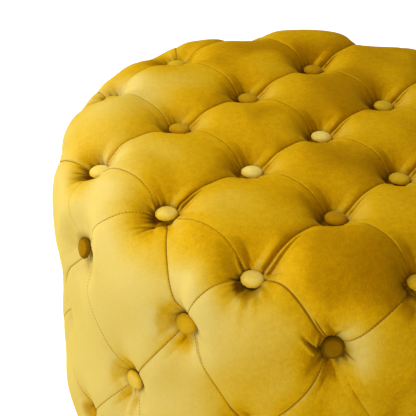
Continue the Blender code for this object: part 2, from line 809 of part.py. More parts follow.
for number in range(POST_COUNT):
    angle = 2.0 * math.pi * number / POST_COUNT
    post = new_object("post_" + str(number + 1), post_mesh, None)
    post.location = (POST_REACH * math.cos(angle), POST_REACH * math.sin(angle), RING_TOP + GAP + post_height / 2.0)
    post.rotation_euler = (0.0, 0.0, angle)

# Twine lines: from each button's seat on the cover to its knot or to the lacing cord
LACING_RADIUS = (HOOP_INNER + POST_REACH + POST_SIZE / 2.0) / 2.0
ROW_DROPS = {"upper": UPPER_ROW_DROP, "middle": MIDDLE_ROW_DROP, "lower": LOWER_ROW_DROP}


def twine_ends(button):
    run, angle = BUTTONS[button]
    seat = on_drum(run, angle)
    if button[0] != "top":
        height = TOP_HEIGHT - ROW_DROPS[button[0]]
        return seat, Vector((LACING_RADIUS * math.cos(angle), LACING_RADIUS * math.sin(angle), height))
    inward = -normal_at(run, angle)
    knot_height = DECK_BOTTOM - GAP - KNOT_DIAMETER / 2.0 * math.hypot(inward.x, inward.y)
    return seat, seat + inward * ((knot_height - seat.z) / inward.z)


def spun(mesh, profile, place):
    """Adds a closed turned shape to a mesh, from its outline in radius and height."""
    rings = []
    for radius, height in profile:
        if radius == 0.0:
            rings.append([mesh.verts.new(place @ Vector((0.0, 0.0, height)))])
            continue
        ring = []
        for side in range(TWINE_SIDES):
            turn = 2.0 * math.pi * side / TWINE_SIDES
            point = Vector((radius * math.cos(turn), radius * math.sin(turn), height))
            ring.append(mesh.verts.new(place @ point))
        rings.append(ring)
    for upper, lower in zip(rings, rings[1:]):
        for side in range(TWINE_SIDES):
            following = (side + 1) % TWINE_SIDES
            corners = [upper[side % len(upper)], lower[side % len(lower)]]
            if len(lower) > 1:
                corners.append(lower[following])
            if len(upper) > 1:
                corners.append(upper[following])
            mesh.faces.new(corners)


BUTTON_RADIUS = BUTTON_DIAMETER / 2.0
TWINE_RADIUS = TWINE_DIAMETER / 2.0
BUTTON_SHOULDER_SHARE = 0.68
BUTTON_SHOULDER_RISE_SHARE = 0.72


def button_profile(reach, knotted):
    dome = BUTTON_HEIGHT - BUTTON_RIM_HEIGHT
    profile = [
        (0.0, BUTTON_HEIGHT),
        (BUTTON_RADIUS * BUTTON_SHOULDER_SHARE, BUTTON_RIM_HEIGHT + dome * BUTTON_SHOULDER_RISE_SHARE),
        (BUTTON_RADIUS, BUTTON_RIM_HEIGHT),
        (TWINE_RADIUS, GAP),
    ]
    if knotted:
        profile += [(TWINE_RADIUS, -reach), (KNOT_DIAMETER / 2.0, -reach)]
        profile.append((0.0, -reach - KNOT_THICKNESS))
    else:
        profile += [(TWINE_RADIUS, -reach), (0.0, -reach)]
    return profile


def make_top_button(button, number):
    seat, knot = twine_ends(button)
    mesh = bmesh.new()
    spun(mesh, button_profile((seat - knot).length, True), Matrix.Identity(4))
    bmesh.ops.recalc_face_normals(mesh, faces=mesh.faces)
    data = bpy.data.meshes.new("top_button")
    mesh.to_mesh(data)
    mesh.free()
    data.shade_smooth()
    data.set_sharp_from_angle(angle=math.radians(50.0))
    item = new_object("top_button_" + str(number).zfill(2), data, VELVET_BUTTON)
    item.matrix_local = upright_to(seat, knot)


top_names = sorted((key for key in BUTTONS if key[0] == "top"), key=lambda key: (key[2], key[1]))
for count, key in enumerate(top_names):
    make_top_button(key, count + 1)


def make_button_row(row):
    mesh = bmesh.new()
    steps = 2 * COLUMNS
    lead = 0.5 if row == "middle" else 0.0
    height = TOP_HEIGHT - ROW_DROPS[row]
    hoops = []
    for step in range(steps):
        turn = PITCH_ANGLE * (step / 2.0 + lead)
        ring = []
        for side in range(LACING_SIDES):
            tilt = 2.0 * math.pi * side / LACING_SIDES
            radius = LACING_RADIUS + LACING_DIAMETER / 2.0 * math.cos(tilt)
            place = (radius * math.cos(turn), radius * math.sin(turn), height + LACING_DIAMETER / 2.0 * math.sin(tilt))
            ring.append(mesh.verts.new(place))
        hoops.append(ring)
    for step in range(steps):
        for side in range(LACING_SIDES):
            here, there = hoops[step], hoops[(step + 1) % steps]
            following = (side + 1) % LACING_SIDES
            mesh.faces.new([here[side], there[side], there[following], here[following]])
    bmesh.ops.recalc_face_normals(mesh, faces=mesh.faces)
    data = bpy.data.meshes.new(row + "_lacing")
    mesh.to_mesh(data)
    mesh.free()
    buttons = bmesh.new()
    for number in range(COLUMNS):
        seat, tie = twine_ends((row, number))
        spun(buttons, button_profile((seat - tie).length, False), upright_to(seat, tie))
    bmesh.ops.recalc_face_normals(buttons, faces=buttons.faces)
    studs_mesh = bpy.data.meshes.new(row + "_studs")
    buttons.to_mesh(studs_mesh)
    buttons.free()
    studs = new_object(row + "_studs", studs_mesh, None, CUTTERS)
    studs.hide_render = True
    studs.display_type = "WIRE"
    item = new_object("side_buttons_" + row, data, VELVET_BUTTON)
    union = item.modifiers.new("tie", "BOOLEAN")
    union.operation = "UNION"
    union.solver = "EXACT"
    union.object = studs


for row_name in ("upper", "middle", "lower"):
    make_button_row(row_name)


def pin_line(button):
    """Line of a twine hole, run past both ends."""
    seat, end = twine_ends(button)
    inward = (end - seat).normalized()
    return seat - inward * CUT_OVERRUN, end + inward * CUT_OVERRUN


top_pins = pins("top_pins", [pin_line(key) for key in BUTTONS if key[0] == "top"], HOLE_RADIUS, PIN_SIDES)
side_pins = pins("side_pins", [pin_line(key) for key in BUTTONS if key[0] != "top"], HOLE_RADIUS, PIN_SIDES)
cut(top_foam, top_pins, "twine")
cut(seat_deck, top_pins, "twine")
cut(side_foam, side_pins, "twine")
cut(drum_hoop, side_pins, "twine")

# Base
lap_start = HEM_INNER - DUST_COVER_SLOPE - 2.0 * GAP
lap_top = HEM_BOTTOM - GAP
lap_slope_end = lap_start + DUST_COVER_SLOPE
lap_end = HEM_INNER + DUST_COVER_LAP
cover_profile = [
    (0.0, DUST_COVER_TOP),
    (lap_start, DUST_COVER_TOP),
    (lap_slope_end, lap_top),
    (lap_end, lap_top),
    (lap_end, lap_top - DUST_COVER_THICKNESS),
    (lap_slope_end - DUST_COVER_THICKNESS / 2.0, lap_top - DUST_COVER_THICKNESS),
    (lap_start - DUST_COVER_THICKNESS / 2.0, DUST_COVER_TOP - DUST_COVER_THICKNESS),
    (0.0, DUST_COVER_TOP - DUST_COVER_THICKNESS),
]
dust_cover = turned("dust_cover", cover_profile, FRAME_STEPS, NON_WOVEN)
SCREW_HOLE_RADIUS = SCREW_DIAMETER / 2.0 + GAP
SCREW_TIP = GLIDE_HEIGHT + SCREW_BITE
glide_profile = [
    (GLIDE_WELL_DIAMETER / 2.0, 0.0),
    (GLIDE_WELL_DIAMETER / 2.0, GLIDE_WELL_DEPTH),
    (SCREW_HOLE_RADIUS, GLIDE_WELL_DEPTH),
    (SCREW_HOLE_RADIUS, GLIDE_HEIGHT),
    (GLIDE_TOP_DIAMETER / 2.0, GLIDE_HEIGHT),
    (GLIDE_SOLE_DIAMETER / 2.0, GLIDE_EDGE),
    (GLIDE_SOLE_DIAMETER / 2.0 - GLIDE_EDGE, 0.0),
]
head_top = GLIDE_WELL_DEPTH - GAP
screw_profile = [
    (0.0, SCREW_TIP),
    (SCREW_DIAMETER / 2.0, SCREW_TIP - SCREW_DIAMETER / 2.0),
    (SCREW_DIAMETER / 2.0, head_top),
    (SCREW_HEAD_DIAMETER / 2.0, head_top),
    (SCREW_HEAD_DIAMETER / 2.0, head_top - SCREW_HEAD_HEIGHT / 2.0),
    (0.0, head_top - SCREW_HEAD_HEIGHT),
]
glide_lines = []
for number in range(GLIDE_COUNT):
    angle = 2.0 * math.pi * (number + 0.5) / GLIDE_COUNT
    place = (GLIDE_REACH * math.cos(angle), GLIDE_REACH * math.sin(angle), 0.0)
    glide = turned("glide_" + str(number + 1), glide_profile, ROUND_STEPS, GLIDE_PLASTIC)
    glide.location = place
    glide_screw = turned("glide_screw_" + str(number + 1), screw_profile, SCREW_STEPS, ZINC)
    glide_screw.location = place
    foot = Vector(place)
    tip = foot + Vector((0.0, 0.0, SCREW_TIP + CUT_OVERRUN))
    glide_lines.append((foot, tip))
screw_pins = pins("screw_pins", glide_lines, SCREW_HOLE_RADIUS + GAP / 2.0, SCREW_STEPS)
cut(dust_cover, screw_pins, "screws")
cut(base_ring, screw_pins, "screws")
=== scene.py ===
"""Round stool with a buttoned velvet drum seat, dressed for a picture. Metres, +Z up."""
import functools
import math

import bmesh
import bpy
import numpy as np
from mathutils import Matrix, Vector


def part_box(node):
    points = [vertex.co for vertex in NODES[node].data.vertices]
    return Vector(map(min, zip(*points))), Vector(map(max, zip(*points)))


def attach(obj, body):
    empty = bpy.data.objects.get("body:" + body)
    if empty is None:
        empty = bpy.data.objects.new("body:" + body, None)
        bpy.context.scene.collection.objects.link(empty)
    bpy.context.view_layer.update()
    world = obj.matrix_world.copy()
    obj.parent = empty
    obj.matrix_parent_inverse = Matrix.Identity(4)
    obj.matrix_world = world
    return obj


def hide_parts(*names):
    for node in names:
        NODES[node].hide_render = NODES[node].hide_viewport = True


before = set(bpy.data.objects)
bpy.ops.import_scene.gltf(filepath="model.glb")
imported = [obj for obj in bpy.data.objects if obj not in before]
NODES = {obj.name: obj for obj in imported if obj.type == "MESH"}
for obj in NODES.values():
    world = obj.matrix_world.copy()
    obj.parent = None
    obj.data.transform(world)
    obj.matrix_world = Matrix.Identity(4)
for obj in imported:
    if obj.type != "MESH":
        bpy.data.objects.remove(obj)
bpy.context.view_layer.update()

MM = 0.001
QUARTER = math.pi / 2
CIRCLE = 2 * math.pi
UP = np.array((0, 0, 1))

# Names of the buttons that the photograph shows, row by row from the far rim down the near side
A1, A2, A3 = (("top", k - 3, k + 1) for k in range(3))
B1, B2, B3, B4, B5 = (("top", k - 3, k - 1) for k in range(5))
C1, C2, C3, C4 = (("top", k - 2, k - 2) for k in range(4))
D1, D2, D3 = (("top", k - 1, k - 3) for k in range(3))
E1, E2, E3, E4 = (("upper", k) for k in (7, 8, 9, 10))
F0, F1, F2, F3 = (("middle", k) for k in (6, 7, 8, 9))
G1, G2 = (("lower", k) for k in (7, 8))

# Drum and lattice, as in the model
SEAT_RADIUS = 250 * MM
TOP_HEIGHT = 400 * MM
SHOULDER_RADIUS = 59 * MM
SHOULDER_SWELL = 6 * MM
SWELL_START = 0.6
TURN_RADIUS = 16 * MM
HEM_WIDTH = 26 * MM
HEM_BOTTOM = 13.6 * MM
HEM_THICKNESS = 1.5 * MM
COVER_BACKING = 5 * MM
RIM_BUTTON_INSET = 19.15 * MM
PITCH = (SEAT_RADIUS - RIM_BUTTON_INSET) / math.hypot(3, 1)
CORNER_SPREAD = 1.019
DROPS = {"upper": 55.5 * MM, "middle": 175.5 * MM, "lower": 283.5 * MM}
ROWS = ("top", "upper", "middle", "lower", "hem")
COLUMNS = 12
TURN = CIRCLE / COLUMNS
TOP_RISE, TOP_CROWN = 20 * MM, 5 * MM
SIDE_RISE, SIDE_CROWN = 16 * MM, 6 * MM
CORNER_CROWN = 0.7
PLEAT_REACH = 52 * MM
RISE_FADE = 105 * MM
FADE_POWER = 1.5
DIMPLE_RADIUS = 10 * MM
DIMPLE_POWER = 3
DECK_BOTTOM = 349.5 * MM
LACING_RADIUS = 213.35 * MM

# Where single buttons stand off the even lattice: on the top and down the side in pitches, then round the drum
TOP_SET = {B1: (-0.02, 0.07), C1: (-0.02, 0.035), D1: (-0.005, -0.06), A2: (-0.05, -0.07),
           A3: (-0.01, -0.1), B3: (-0.04, -0.01), C2: (-0.01, -0.03), D2: (0.055, 0.01)}
SIDE_SET = {E2: 0.13}
SIDE_TURN = {F1: math.radians(1.1)}

# Lengths along the drum's outline from the middle of the top
FLAT_RUN = SEAT_RADIUS - SHOULDER_RADIUS
WALL_RUN = FLAT_RUN + SHOULDER_RADIUS * QUARTER
TURN_RUN = WALL_RUN + TOP_HEIGHT - SHOULDER_RADIUS - HEM_BOTTOM - TURN_RADIUS
UNDER_RUN = TURN_RUN + TURN_RADIUS * QUARTER
HEM_RUN = UNDER_RUN + HEM_WIDTH

# Fine form of the cover beyond the model's, in mm or as a share of the crown
TOP_DIMPLE_REACH, SIDE_DIMPLE_REACH = 15, 20
COLLAR_RISE, COLLAR_PLACE, COLLAR_WIDTH = 3.2, 14, 5
TOP_FLUSH_SHARE, TOP_FLUSH_REACH = 0.6, 51.5
SIDE_FLUSH_SHARE, SIDE_FLUSH_REACH = 0.75, 42
VALLEY_DEPTH, VALLEY_WIDTH = 3.5, 9
GROOVE_DEPTH, GROOVE_WIDTH = 0.8, 0.75
SOFT_GROOVE_DEPTH, SOFT_GROOVE_WIDTH = 0.35, 2.2
# LINE_TONE is the depth of the painted shade along each seam line
LINE_WIDTH, LINE_TONE = 0.6, 0.45
WRINKLE_DEPTH, UNDULATION = 0.3, 0.22
CALM_REACH, BUTTON_HOLD = 30, 9
LIP_SHARE, FULL_PINCH = 0.5, 1.8


def run_at(drop):
    if drop >= SHOULDER_RADIUS:
        return WALL_RUN + drop - SHOULDER_RADIUS
    return FLAT_RUN + SHOULDER_RADIUS * math.acos(1 - drop / SHOULDER_RADIUS)


UPPER_RUN, MIDDLE_RUN, LOWER_RUN = (run_at(DROPS[row]) for row in ("upper", "middle", "lower"))


def unit(way):
    return way / np.linalg.norm(way)


def ease(value):
    value = np.clip(value, 0, 1)
    return value * value * (3 - 2 * value)


def climb(value, start, width):
    """Eased step from 0 to 1 that starts at a value and is so wide."""
    return ease((value - start) / width)


def fall(value, start, width):
    return 1 - climb(value, start, width)


def bell(value, place, width):
    """Bump of height 1 about a place."""
    return np.exp(-((value - place) / width) ** 2)


def between(first, second, share):
    return first + (second - first) * share


def turns_of(count):
    return CIRCLE * np.arange(count) / count


def side_share(run):
    """0 on the top and 1 on the side, below the middle buttons."""
    return climb(run, UPPER_RUN, MIDDLE_RUN - UPPER_RUN)


def outline(run):
    """Radius, height and tilt of the button plane along the drum's outline."""
    lean = np.clip((run - FLAT_RUN) / SHOULDER_RADIUS, 0, QUARTER)
    tuck = np.clip((run - TURN_RUN) / TURN_RADIUS, 0, QUARTER)
    radius = np.minimum(run, FLAT_RUN) + SHOULDER_RADIUS * np.sin(lean)
    radius = radius - TURN_RADIUS * (1 - np.cos(tuck)) - np.maximum(run - UNDER_RUN, 0)
    height = TOP_HEIGHT - SHOULDER_RADIUS * (1 - np.cos(lean))
    height = height - (np.clip(run, WALL_RUN, TURN_RUN) - WALL_RUN) - TURN_RADIUS * np.sin(tuck)
    start = SWELL_START * FLAT_RUN
    swell = SHOULDER_SWELL * (1 - side_share(run)) * np.clip((run - start) / (FLAT_RUN - start), 0, 1)
    return radius + swell, height, lean + tuck


def around(radius, angle, height):
    points = np.broadcast_arrays(radius * np.cos(angle), radius * np.sin(angle), height)
    return np.stack(points, axis=-1)


def on_drum(run, angle, lift=0):
    radius, height, tilt = outline(run)
    return around(radius + lift * np.sin(tilt), angle, height + lift * np.cos(tilt))


def normal_at(run, angle):
    tilt = outline(run)[2]
    return around(np.sin(tilt), angle, np.cos(tilt))


def fade_at(run):
    """1 on the drum, falling to 0 where the cover turns under it."""
    start = TURN_RUN - RISE_FADE
    end = (TURN_RUN + UNDER_RUN) / 2
    share = np.clip((run - start) / (end - start), 0, 1)
    return (1 - share * share) ** FADE_POWER


def rise_at(run):
    return between(TOP_RISE, SIDE_RISE, side_share(run)) * fade_at(run)


def crown_at(run):
    return between(TOP_CROWN, SIDE_CROWN, side_share(run)) * fade_at(run)


def backing_at(run):
    return between(COVER_BACKING, HEM_THICKNESS, np.clip((run - TURN_RUN) / (UNDER_RUN - TURN_RUN), 0, 1))


# Button places as run and angle; a site is a button or a pleat's end at the hem
LATTICE = [(column, row) for column in range(-3, 4) for row in range(-3, 4)]
BUTTONS = {}
for column, row in LATTICE:
    if (column + row) % 2 or column * column + row * row > 10:
        continue
    spread = CORNER_SPREAD if abs(column) == 2 and abs(row) == 2 else 1
    set_x, set_y = TOP_SET.get(("top", column, row), (0, 0))
    px, py = (column * spread + set_x) * PITCH, (row * spread + set_y) * PITCH
    BUTTONS["top", column, row] = (math.hypot(px, py), math.atan2(py, px))
for number in range(COLUMNS):
    for row, run, shift in (("upper", UPPER_RUN, 0), ("middle", MIDDLE_RUN, 0.5), ("lower", LOWER_RUN, 0)):
        key = (row, number)
        BUTTONS[key] = (run + SIDE_SET.get(key, 0) * PITCH, TURN * (number + shift) + SIDE_TURN.get(key, 0))
SITES = {**BUTTONS, **{("hem", number): (HEM_RUN, TURN * number) for number in range(COLUMNS)}}
RIM = [key for key in BUTTONS if key[0] == "top" and math.hypot(key[1], key[2]) > 2.5]
RIM.sort(key=lambda key: math.atan2(key[2], key[1]) % CIRCLE)


def flat(place):
    """Run and angle as a point on the cover laid flat."""
    return around(*place, 0)[..., :2]


def unflat(point):
    return np.hypot(point[..., 0], point[..., 1]), np.arctan2(point[..., 1], point[..., 0])


def seam_key(first, second):
    """Both ends of a seam in the one order that the panels on its two sides agree on."""
    return tuple(sorted((first, second), key=lambda key: (ROWS.index(key[0]), sum(key[1:]), key)))


def seam_kind(key):
    first, second = key
    if second[0] == "top":
        return "valley" if (second[1] - first[1]) * (second[2] - first[2]) > 0 else "flush"
    return "hem" if second[0] == "hem" else "side"


def by_seam(rows):
    return {seam_key(first, second): tuple(values) for first, second, *values in rows}


# Seams that bow aside between their buttons: how far in mm, and where the bow is widest
BOWS = by_seam((
    (D1, E3, 12.5, 0.6), (C1, D1, 8.5, 1.6), (D1, E2, -10, 0.85), (C1, E2, 5, 1),
    (B1, C1, 4, 1.3), (E3, F2, 6, 1), (E2, F2, 4, 1)))

# How single seams are set: height beyond the flush seam in mm, and strength of the line, its groove and its painted
# shade
PLAIN_SEAM = (0, 0.7)
SEAM_SET = by_seam((
    (A1, B2, -4, 0.6), (A2, B3, 0, 1), (A3, B4, 0, 1.1), (B2, C2, -2, 0.4), (B3, C3, 0, 0.35),
    (C2, D2, 0, 0.6), (B1, C1, 5, 0.55), (C1, D1, 0, 0.5), (C1, E2, -4, 0.85), (C1, E1, 2, 0.35),
    (B1, E1, 5, 0.12), (D1, E3, -2, 1), (D1, E2, 4, 0.7), (E2, F1, 0, 0.8), (E3, F3, 0, 0.15),
    (E2, F2, -4, 0.75), (E1, F1, 2.5, 0.4), (E1, F0, 1, 0.8), (F1, G1, 0, 0.5)))

# Seams with a second line beside them, a groove with painted shade: its offset, and where along the seam it starts
# and ends, in mm
DOUBLED = by_seam(((D1, E3, 2.2, 62, 98), (E2, F2, 2.4, 12, 40)))

# The fold beside the valley seam that starts at a button: strength, reach in mm, darkness of its painted shade
PLAIN_FOLD = (0.35, 20, 0.6)
FOLDS = {C1: (1.1, 26, 1), D1: (1.1, 44, 0.45), C3: (0.7, 30, 0.6), B3: (0.5, 26, 0.6),
         C4: (0.7, 30, 0.6), D3: (0.8, 34, 0.6), D2: (0.6, 30, 0.6), B4: (0.7, 26, 0.6)}

# How far single dimples reach, and how far single buttons and their cover stand out, in mm
REACHES = {E1: 40, F1: 28, E2: 26}
BUTTON_LIFT = {E1: 7.5, F1: 1}


def bow(first, second, share):
    """How far a seam stands aside, in metres, and its key, which may run the other way."""
    key = seam_key(first, second)
    amount, power = BOWS.get(key, (0, 1))
    share = share if key[0] == first else 1 - share
    return amount * MM * np.sin(math.pi * np.clip(share, 0, 1) ** power), key


def aside(first, second, share):
    """Offset of a seam that bows aside, on the cover laid flat."""
    size, key = bow(first, second, share)
    way = flat(SITES[key[1]]) - flat(SITES[key[0]])
    return size[..., None] * unit(np.array((-way[1], way[0])))


def along(first, second, share):
    """Run and angle at a share of the way along a seam."""
    share = np.asarray(share, dtype=float)
    (run_a, angle_a), (run_b, angle_b) = SITES[first], SITES[second]
    if {first[0], second[0]} in ({"top"}, {"top", "upper"}):
        point = between(flat(SITES[first]), flat(SITES[second]), share[..., None])
        return unflat(point + aside(first, second, share))
    turn = (angle_b - angle_a + math.pi) % CIRCLE - math.pi
    return between(run_a, run_b, share), angle_a + turn * share + bow(first, second, share)[0] / SEAT_RADIUS


@functools.cache
def seam_length(first, second):
    points = on_drum(*along(*seam_key(first, second), np.arange(9) / 8))
    return float(np.linalg.norm(np.diff(points, axis=0), axis=1).sum())


def seam_rise(first, second, share):
    """Share of the rise along a seam: none at its buttons, all of it between them or at the hem."""
    length = seam_length(first, second)
    if "hem" in (first[0], second[0]):
        travel = (share if second[0] == "hem" else 1 - share) * length
        low = 1 - (travel - DIMPLE_RADIUS) / PLEAT_REACH
    else:
        low = np.abs(2 * share - 1) / (1 - 2 * DIMPLE_RADIUS / length)
    return 1 - np.clip(low, 0, 1) ** DIMPLE_POWER


# Camera of the photograph: angles in degrees, distances in seat radii, lens in pixels of its picture
CAMERA_PITCH, CAMERA_ROLL, CAMERA_YAW = (math.radians(angle) for angle in (34.4981, 3.8141, 1.2713))
CAMERA_TARGET = (-0.4519, 0, 0.6295)
CAMERA_DISTANCE = 5.1013
CAMERA_LENS = 1169.1695
PICTURE_WIDTH = 416
SENSOR_WIDTH = 36


def turned(angle, first, second):
    """Rotation that turns one axis towards another."""
    spin = np.eye(3)
    spin[first, first] = spin[second, second] = math.cos(angle)
    spin[second, first], spin[first, second] = math.sin(angle), -math.sin(angle)
    return spin


SPIN = turned(-CAMERA_YAW, 0, 1)
CAM_RIGHT, CAM_UP, CAM_BACK = (SPIN @ turned(QUARTER - CAMERA_PITCH, 1, 2) @ turned(CAMERA_ROLL, 0, 1)).T
CAM_PLACE = SEAT_RADIUS * (SPIN @ CAMERA_TARGET + CAMERA_DISTANCE * CAM_BACK) + (TOP_HEIGHT - SEAT_RADIUS) * UP

# Each button's centre, normal and two ways on the cover, and the phases and sizes of its wrinkles
RANDOM = np.random.default_rng(41)
BUTTON_FRAMES = {}
for key, (run, angle) in BUTTONS.items():
    n = normal_at(run, angle)
    side = np.array((-math.sin(angle), math.cos(angle), 0))
    BUTTON_FRAMES[key] = (on_drum(run, angle), n, side, np.cross(n, side),
                          RANDOM.uniform(0, CIRCLE, 4), RANDOM.uniform(0.6, 1, 4))

# Long low waves of the stuffing: direction, phase, length in metres
WAVES = [(RANDOM.normal(0, 1, 3), RANDOM.uniform(0, CIRCLE), RANDOM.uniform(0.06, 0.13)) for _ in range(9)]


def screen_way(key, dx, dy):
    """Unit vector on the cover at a button that runs along a direction of the picture."""
    e1, e2 = BUTTON_FRAMES[key][2:4]
    a, b = np.linalg.solve(((e1 @ CAM_RIGHT, e2 @ CAM_RIGHT), (e1 @ CAM_UP, e2 @ CAM_UP)), (dx, dy))
    return unit(a * e1 + b * e2)


# How deep the painted shade is in the hollow on the left of a top button, and how far it reaches
PLAIN_PIT = 0.75
PITS = {C1: 1, D1: 1, B1: 1, C2: 0.6, B2: 0.85, A1: 1, A2: 1, B3: 0.85, C3: 0.7, B4: 0.8, A3: 0.9}
PIT_REACH = {D1: 0.6}

# Hollows above or below single buttons, with painted shade in them: picture direction and darkness of the painted
# shade
UNDER_PITS = {E3: (0.15, -1, 1), D1: (0.25, -1, 0.55), E2: (-0.2, 1, 0.35), F1: (-0.5, 1, 0.3)}

# Short pinches beside single buttons, with painted shade in their slits: picture direction, offset, bend, start,
# length, depth, width (mm)
PINCHES = {
    B1: ((-12, 4, 0, 0.1, 12, 12, 1.8, 1.1), (-12, -1, 0, 0.1, 12, 12, 1.6, 1.1),
         (-12, -5, 0, -0.1, 12, 12, 1.6, 1.1)),
    C1: ((-17, 0, 14.5, 0.1, -4, 30, 2.2, 1.3), (-17, -4, 13, 0.15, 2, 24, 2.2, 1.3),
         (-12, 1, 1, 0.1, 12, 10, 1.4, 0.9), (-12, 5, 0, 0.1, 12, 11, 1.4, 0.9),
         (-11, 9, 0, -0.1, 12, 11, 1.5, 0.9), (-7, 11, 0, 0.1, 12, 10, 1.3, 0.9)),
    D1: ((-9, -9, 0, 0, 8, 6, 2, 1.2), (-12, 2, 0, 0.1, 12, 9, 1.4, 1), (-8, 12, 0, -0.1, 12, 14, 1.6, 1.2)),
    E1: ((-2, -14, 0, 0.1, 12, 14, 0.8, 2),),
    E3: ((-13, 14, 9.5, 0.05, 2, 33, 3.8, 1.15), (2, 10, 12.8, 0, -3, 19, 3.2, 1.05),
         (12, -5, 0, 0.2, 12, 10, 1.8, 1.2), (4, 13, 0, -0.2, 12, 8, 1.2, 1)),
    F1: ((-2, -14, 0, 0.1, 12, 13, 1, 1.5), (4, -14, 0, -0.1, 12, 15, 1.1, 1.5)),
}


def puckers(key, points):
    """Lift in mm and painted shade of the wrinkles and hollows that a button gathers about itself, and the distance
    from it.
    """
    centre, n, e1, e2, phase, size = BUTTON_FRAMES[key]
    off = (points - centre) / MM
    x, y = off @ e1, off @ e2
    away, turn = np.hypot(x, y), np.arctan2(y, x)
    top = key[0] == "top"

    def facing(dx, dy, start):
        """1 on the side of the button that looks a way of the picture, 0 on its other side."""
        return climb(off @ screen_way(key, dx, dy) / np.maximum(away, 1e-3), start, 0.6)

    waves = sum(s * np.cos(c * turn + p) for s, c, p in zip(size, (5, 8, 11, 15), phase)) / 2
    lift = WRINKLE_DEPTH * waves * climb(away, 9, 6) * fall(away, 15, 22 if top else 17)
    collar = (1 if top else 0.8) * COLLAR_RISE * bell(away, COLLAR_PLACE, COLLAR_WIDTH)
    dark = 0 * away
    if top:
        # The hollow lies on the left of the button as the picture shows it, drawn into fine wrinkles, and painted
        # shade darkens it on that side only
        side = facing(-1, 0.35, 0.05)
        streak = 0.5 + 0.5 * np.cos(17 * turn + phase[0] + 2 * np.sin(3 * turn + phase[1]))
        collar = collar * (1 - 0.8 * side)
        lift = lift - side * (1.6 + 0.9 * streak) * bell(away, 15, 6.5)
        spread = PIT_REACH.get(key, 1)
        dark = np.maximum(fall(away, 11.5, (5.5 + 6 * streak) * spread), 0.25 * fall(away, 14, 13 * spread))
        dark = dark * PITS.get(key, PLAIN_PIT) * side
    if key in UNDER_PITS:
        dx, dy, tone = UNDER_PITS[key]
        side = facing(dx, dy, 0.1)
        streak = 0.5 + 0.5 * np.cos(11 * turn + phase[0])
        lift = lift - side * (1.2 + 0.7 * streak) * bell(away, 14, 5)
        # Painted shade in the hollow on that side
        dark = np.maximum(dark, tone * side * fall(away, 11, 4 + 6 * streak))
    lift = lift + collar + BUTTON_LIFT.get(key, 0) * bell(away, 0, 28)
    for dx, dy, offset, bend, start, length, depth, width in PINCHES.get(key, ()):
        way = screen_way(key, dx, dy)
        reach = off @ way
        across = off @ np.cross(n, way) - offset - bend * (reach - start) ** 2 / length
        inside = climb(reach, start - 3, 3) * fall(reach, start + 0.35 * length, 0.65 * length)
        slit = bell(across, 0, width) * inside
        lip = bell(across, 2 * width, 1.3 * width) * inside
        lift = lift - depth * slit + LIP_SHARE * depth * lip
        # Painted shade in the slit, full from a depth of FULL_PINCH
        dark = np.maximum(dark, slit * min(depth / FULL_PINCH, 1))
    return lift, dark, away


def seam_measure(key, points):
    """Distance of points from a seam, how far along it the nearest place is, and its length, in mm."""
    line = on_drum(*along(*key, np.linspace(0, 1, 25)))
    best = np.full(points.shape[:-1], 1e9)
    travel = np.zeros(points.shape[:-1])
    done = 0
    for a, b in zip(line, line[1:]):
        size = float(np.linalg.norm(b - a))
        way = (b - a) / size
        t = np.clip((points - a) @ way, 0, size)
        d = np.linalg.norm(points - a - t[..., None] * way, axis=-1)
        travel = np.where(d < best, done + t, travel)
        best = np.minimum(best, d)
        done += size
    return best / MM, travel / MM, done / MM


def seam_relief(key, run, points, centre):
    """Lift in mm and painted shade about one seam of the panel round a centre, and the distance from it."""
    kind = seam_kind(key)
    away, travel, length = seam_measure(key, points)
    more, strength = SEAM_SET.get(key, PLAIN_SEAM)
    clear = climb(travel, 8, 5)
    if kind == "hem":
        middle = climb(travel, 20, 50)
    else:
        middle = 4 * (travel / length) * (1 - travel / length)
        clear = clear * climb(length - travel, 8, 5)
    if kind == "valley":
        lift = -VALLEY_DEPTH * np.sqrt(np.maximum(middle, 0)) * np.exp(-away / VALLEY_WIDTH)
    else:
        share, reach = (SIDE_FLUSH_SHARE, SIDE_FLUSH_REACH) if kind != "flush" else (TOP_FLUSH_SHARE, TOP_FLUSH_REACH)
        lift = (share * crown_at(run) / MM + more) * middle * np.cos(np.clip(away / reach, 0, 1) * QUARTER) ** 2
    groove = GROOVE_DEPTH * bell(away, 0, GROOVE_WIDTH) + SOFT_GROOVE_DEPTH * np.exp(-away / SOFT_GROOVE_WIDTH)
    lift = lift - strength * clear * groove
    # Painted shade along the seam line
    dark = LINE_TONE * strength * clear * bell(away, 0, LINE_WIDTH)
    a, b = on_drum(*along(*key, np.array((0.2, 0.8))))
    right_hand = np.cross(b - a, centre - a) @ normal_at(*SITES[key[0]]) < 0
    if kind == "valley":
        # The cover is folded beside the start of each valley seam, with painted shade along the fold
        size, reach, tone = FOLDS.get(key[0], PLAIN_FOLD)
        bump = size * climb(travel, 10, 4) * fall(travel, 20, reach)
        lift = lift - 2.6 * bump * bell(away, 0, 2.4)
        dark = np.maximum(dark, np.minimum(tone * bump, 1) * bell(away, 0, 1.7))
        if right_hand:
            ridges = bell(away, 3.6, 1.3) + 0.5 * bell(away, 8.4, 1.8)
            second_line = bell(away, 6.1, 0.8)
            lift = lift + bump * (2.2 * ridges - 1.6 * second_line)
            dark = np.maximum(dark, np.minimum(0.8 * tone * bump, 0.8) * second_line)
    if key in DOUBLED and not right_hand:
        offset, start, end = DOUBLED[key]
        line = bell(away, offset, 0.8) * climb(travel, start, 8) * fall(travel, end - 8, 8)
        lift = lift - 0.9 * line
        dark = np.maximum(dark, 0.6 * line)
    return lift, dark, away


def from_button(key, points):
    return np.linalg.norm(points - BUTTON_FRAMES[key][0], axis=-1) / MM


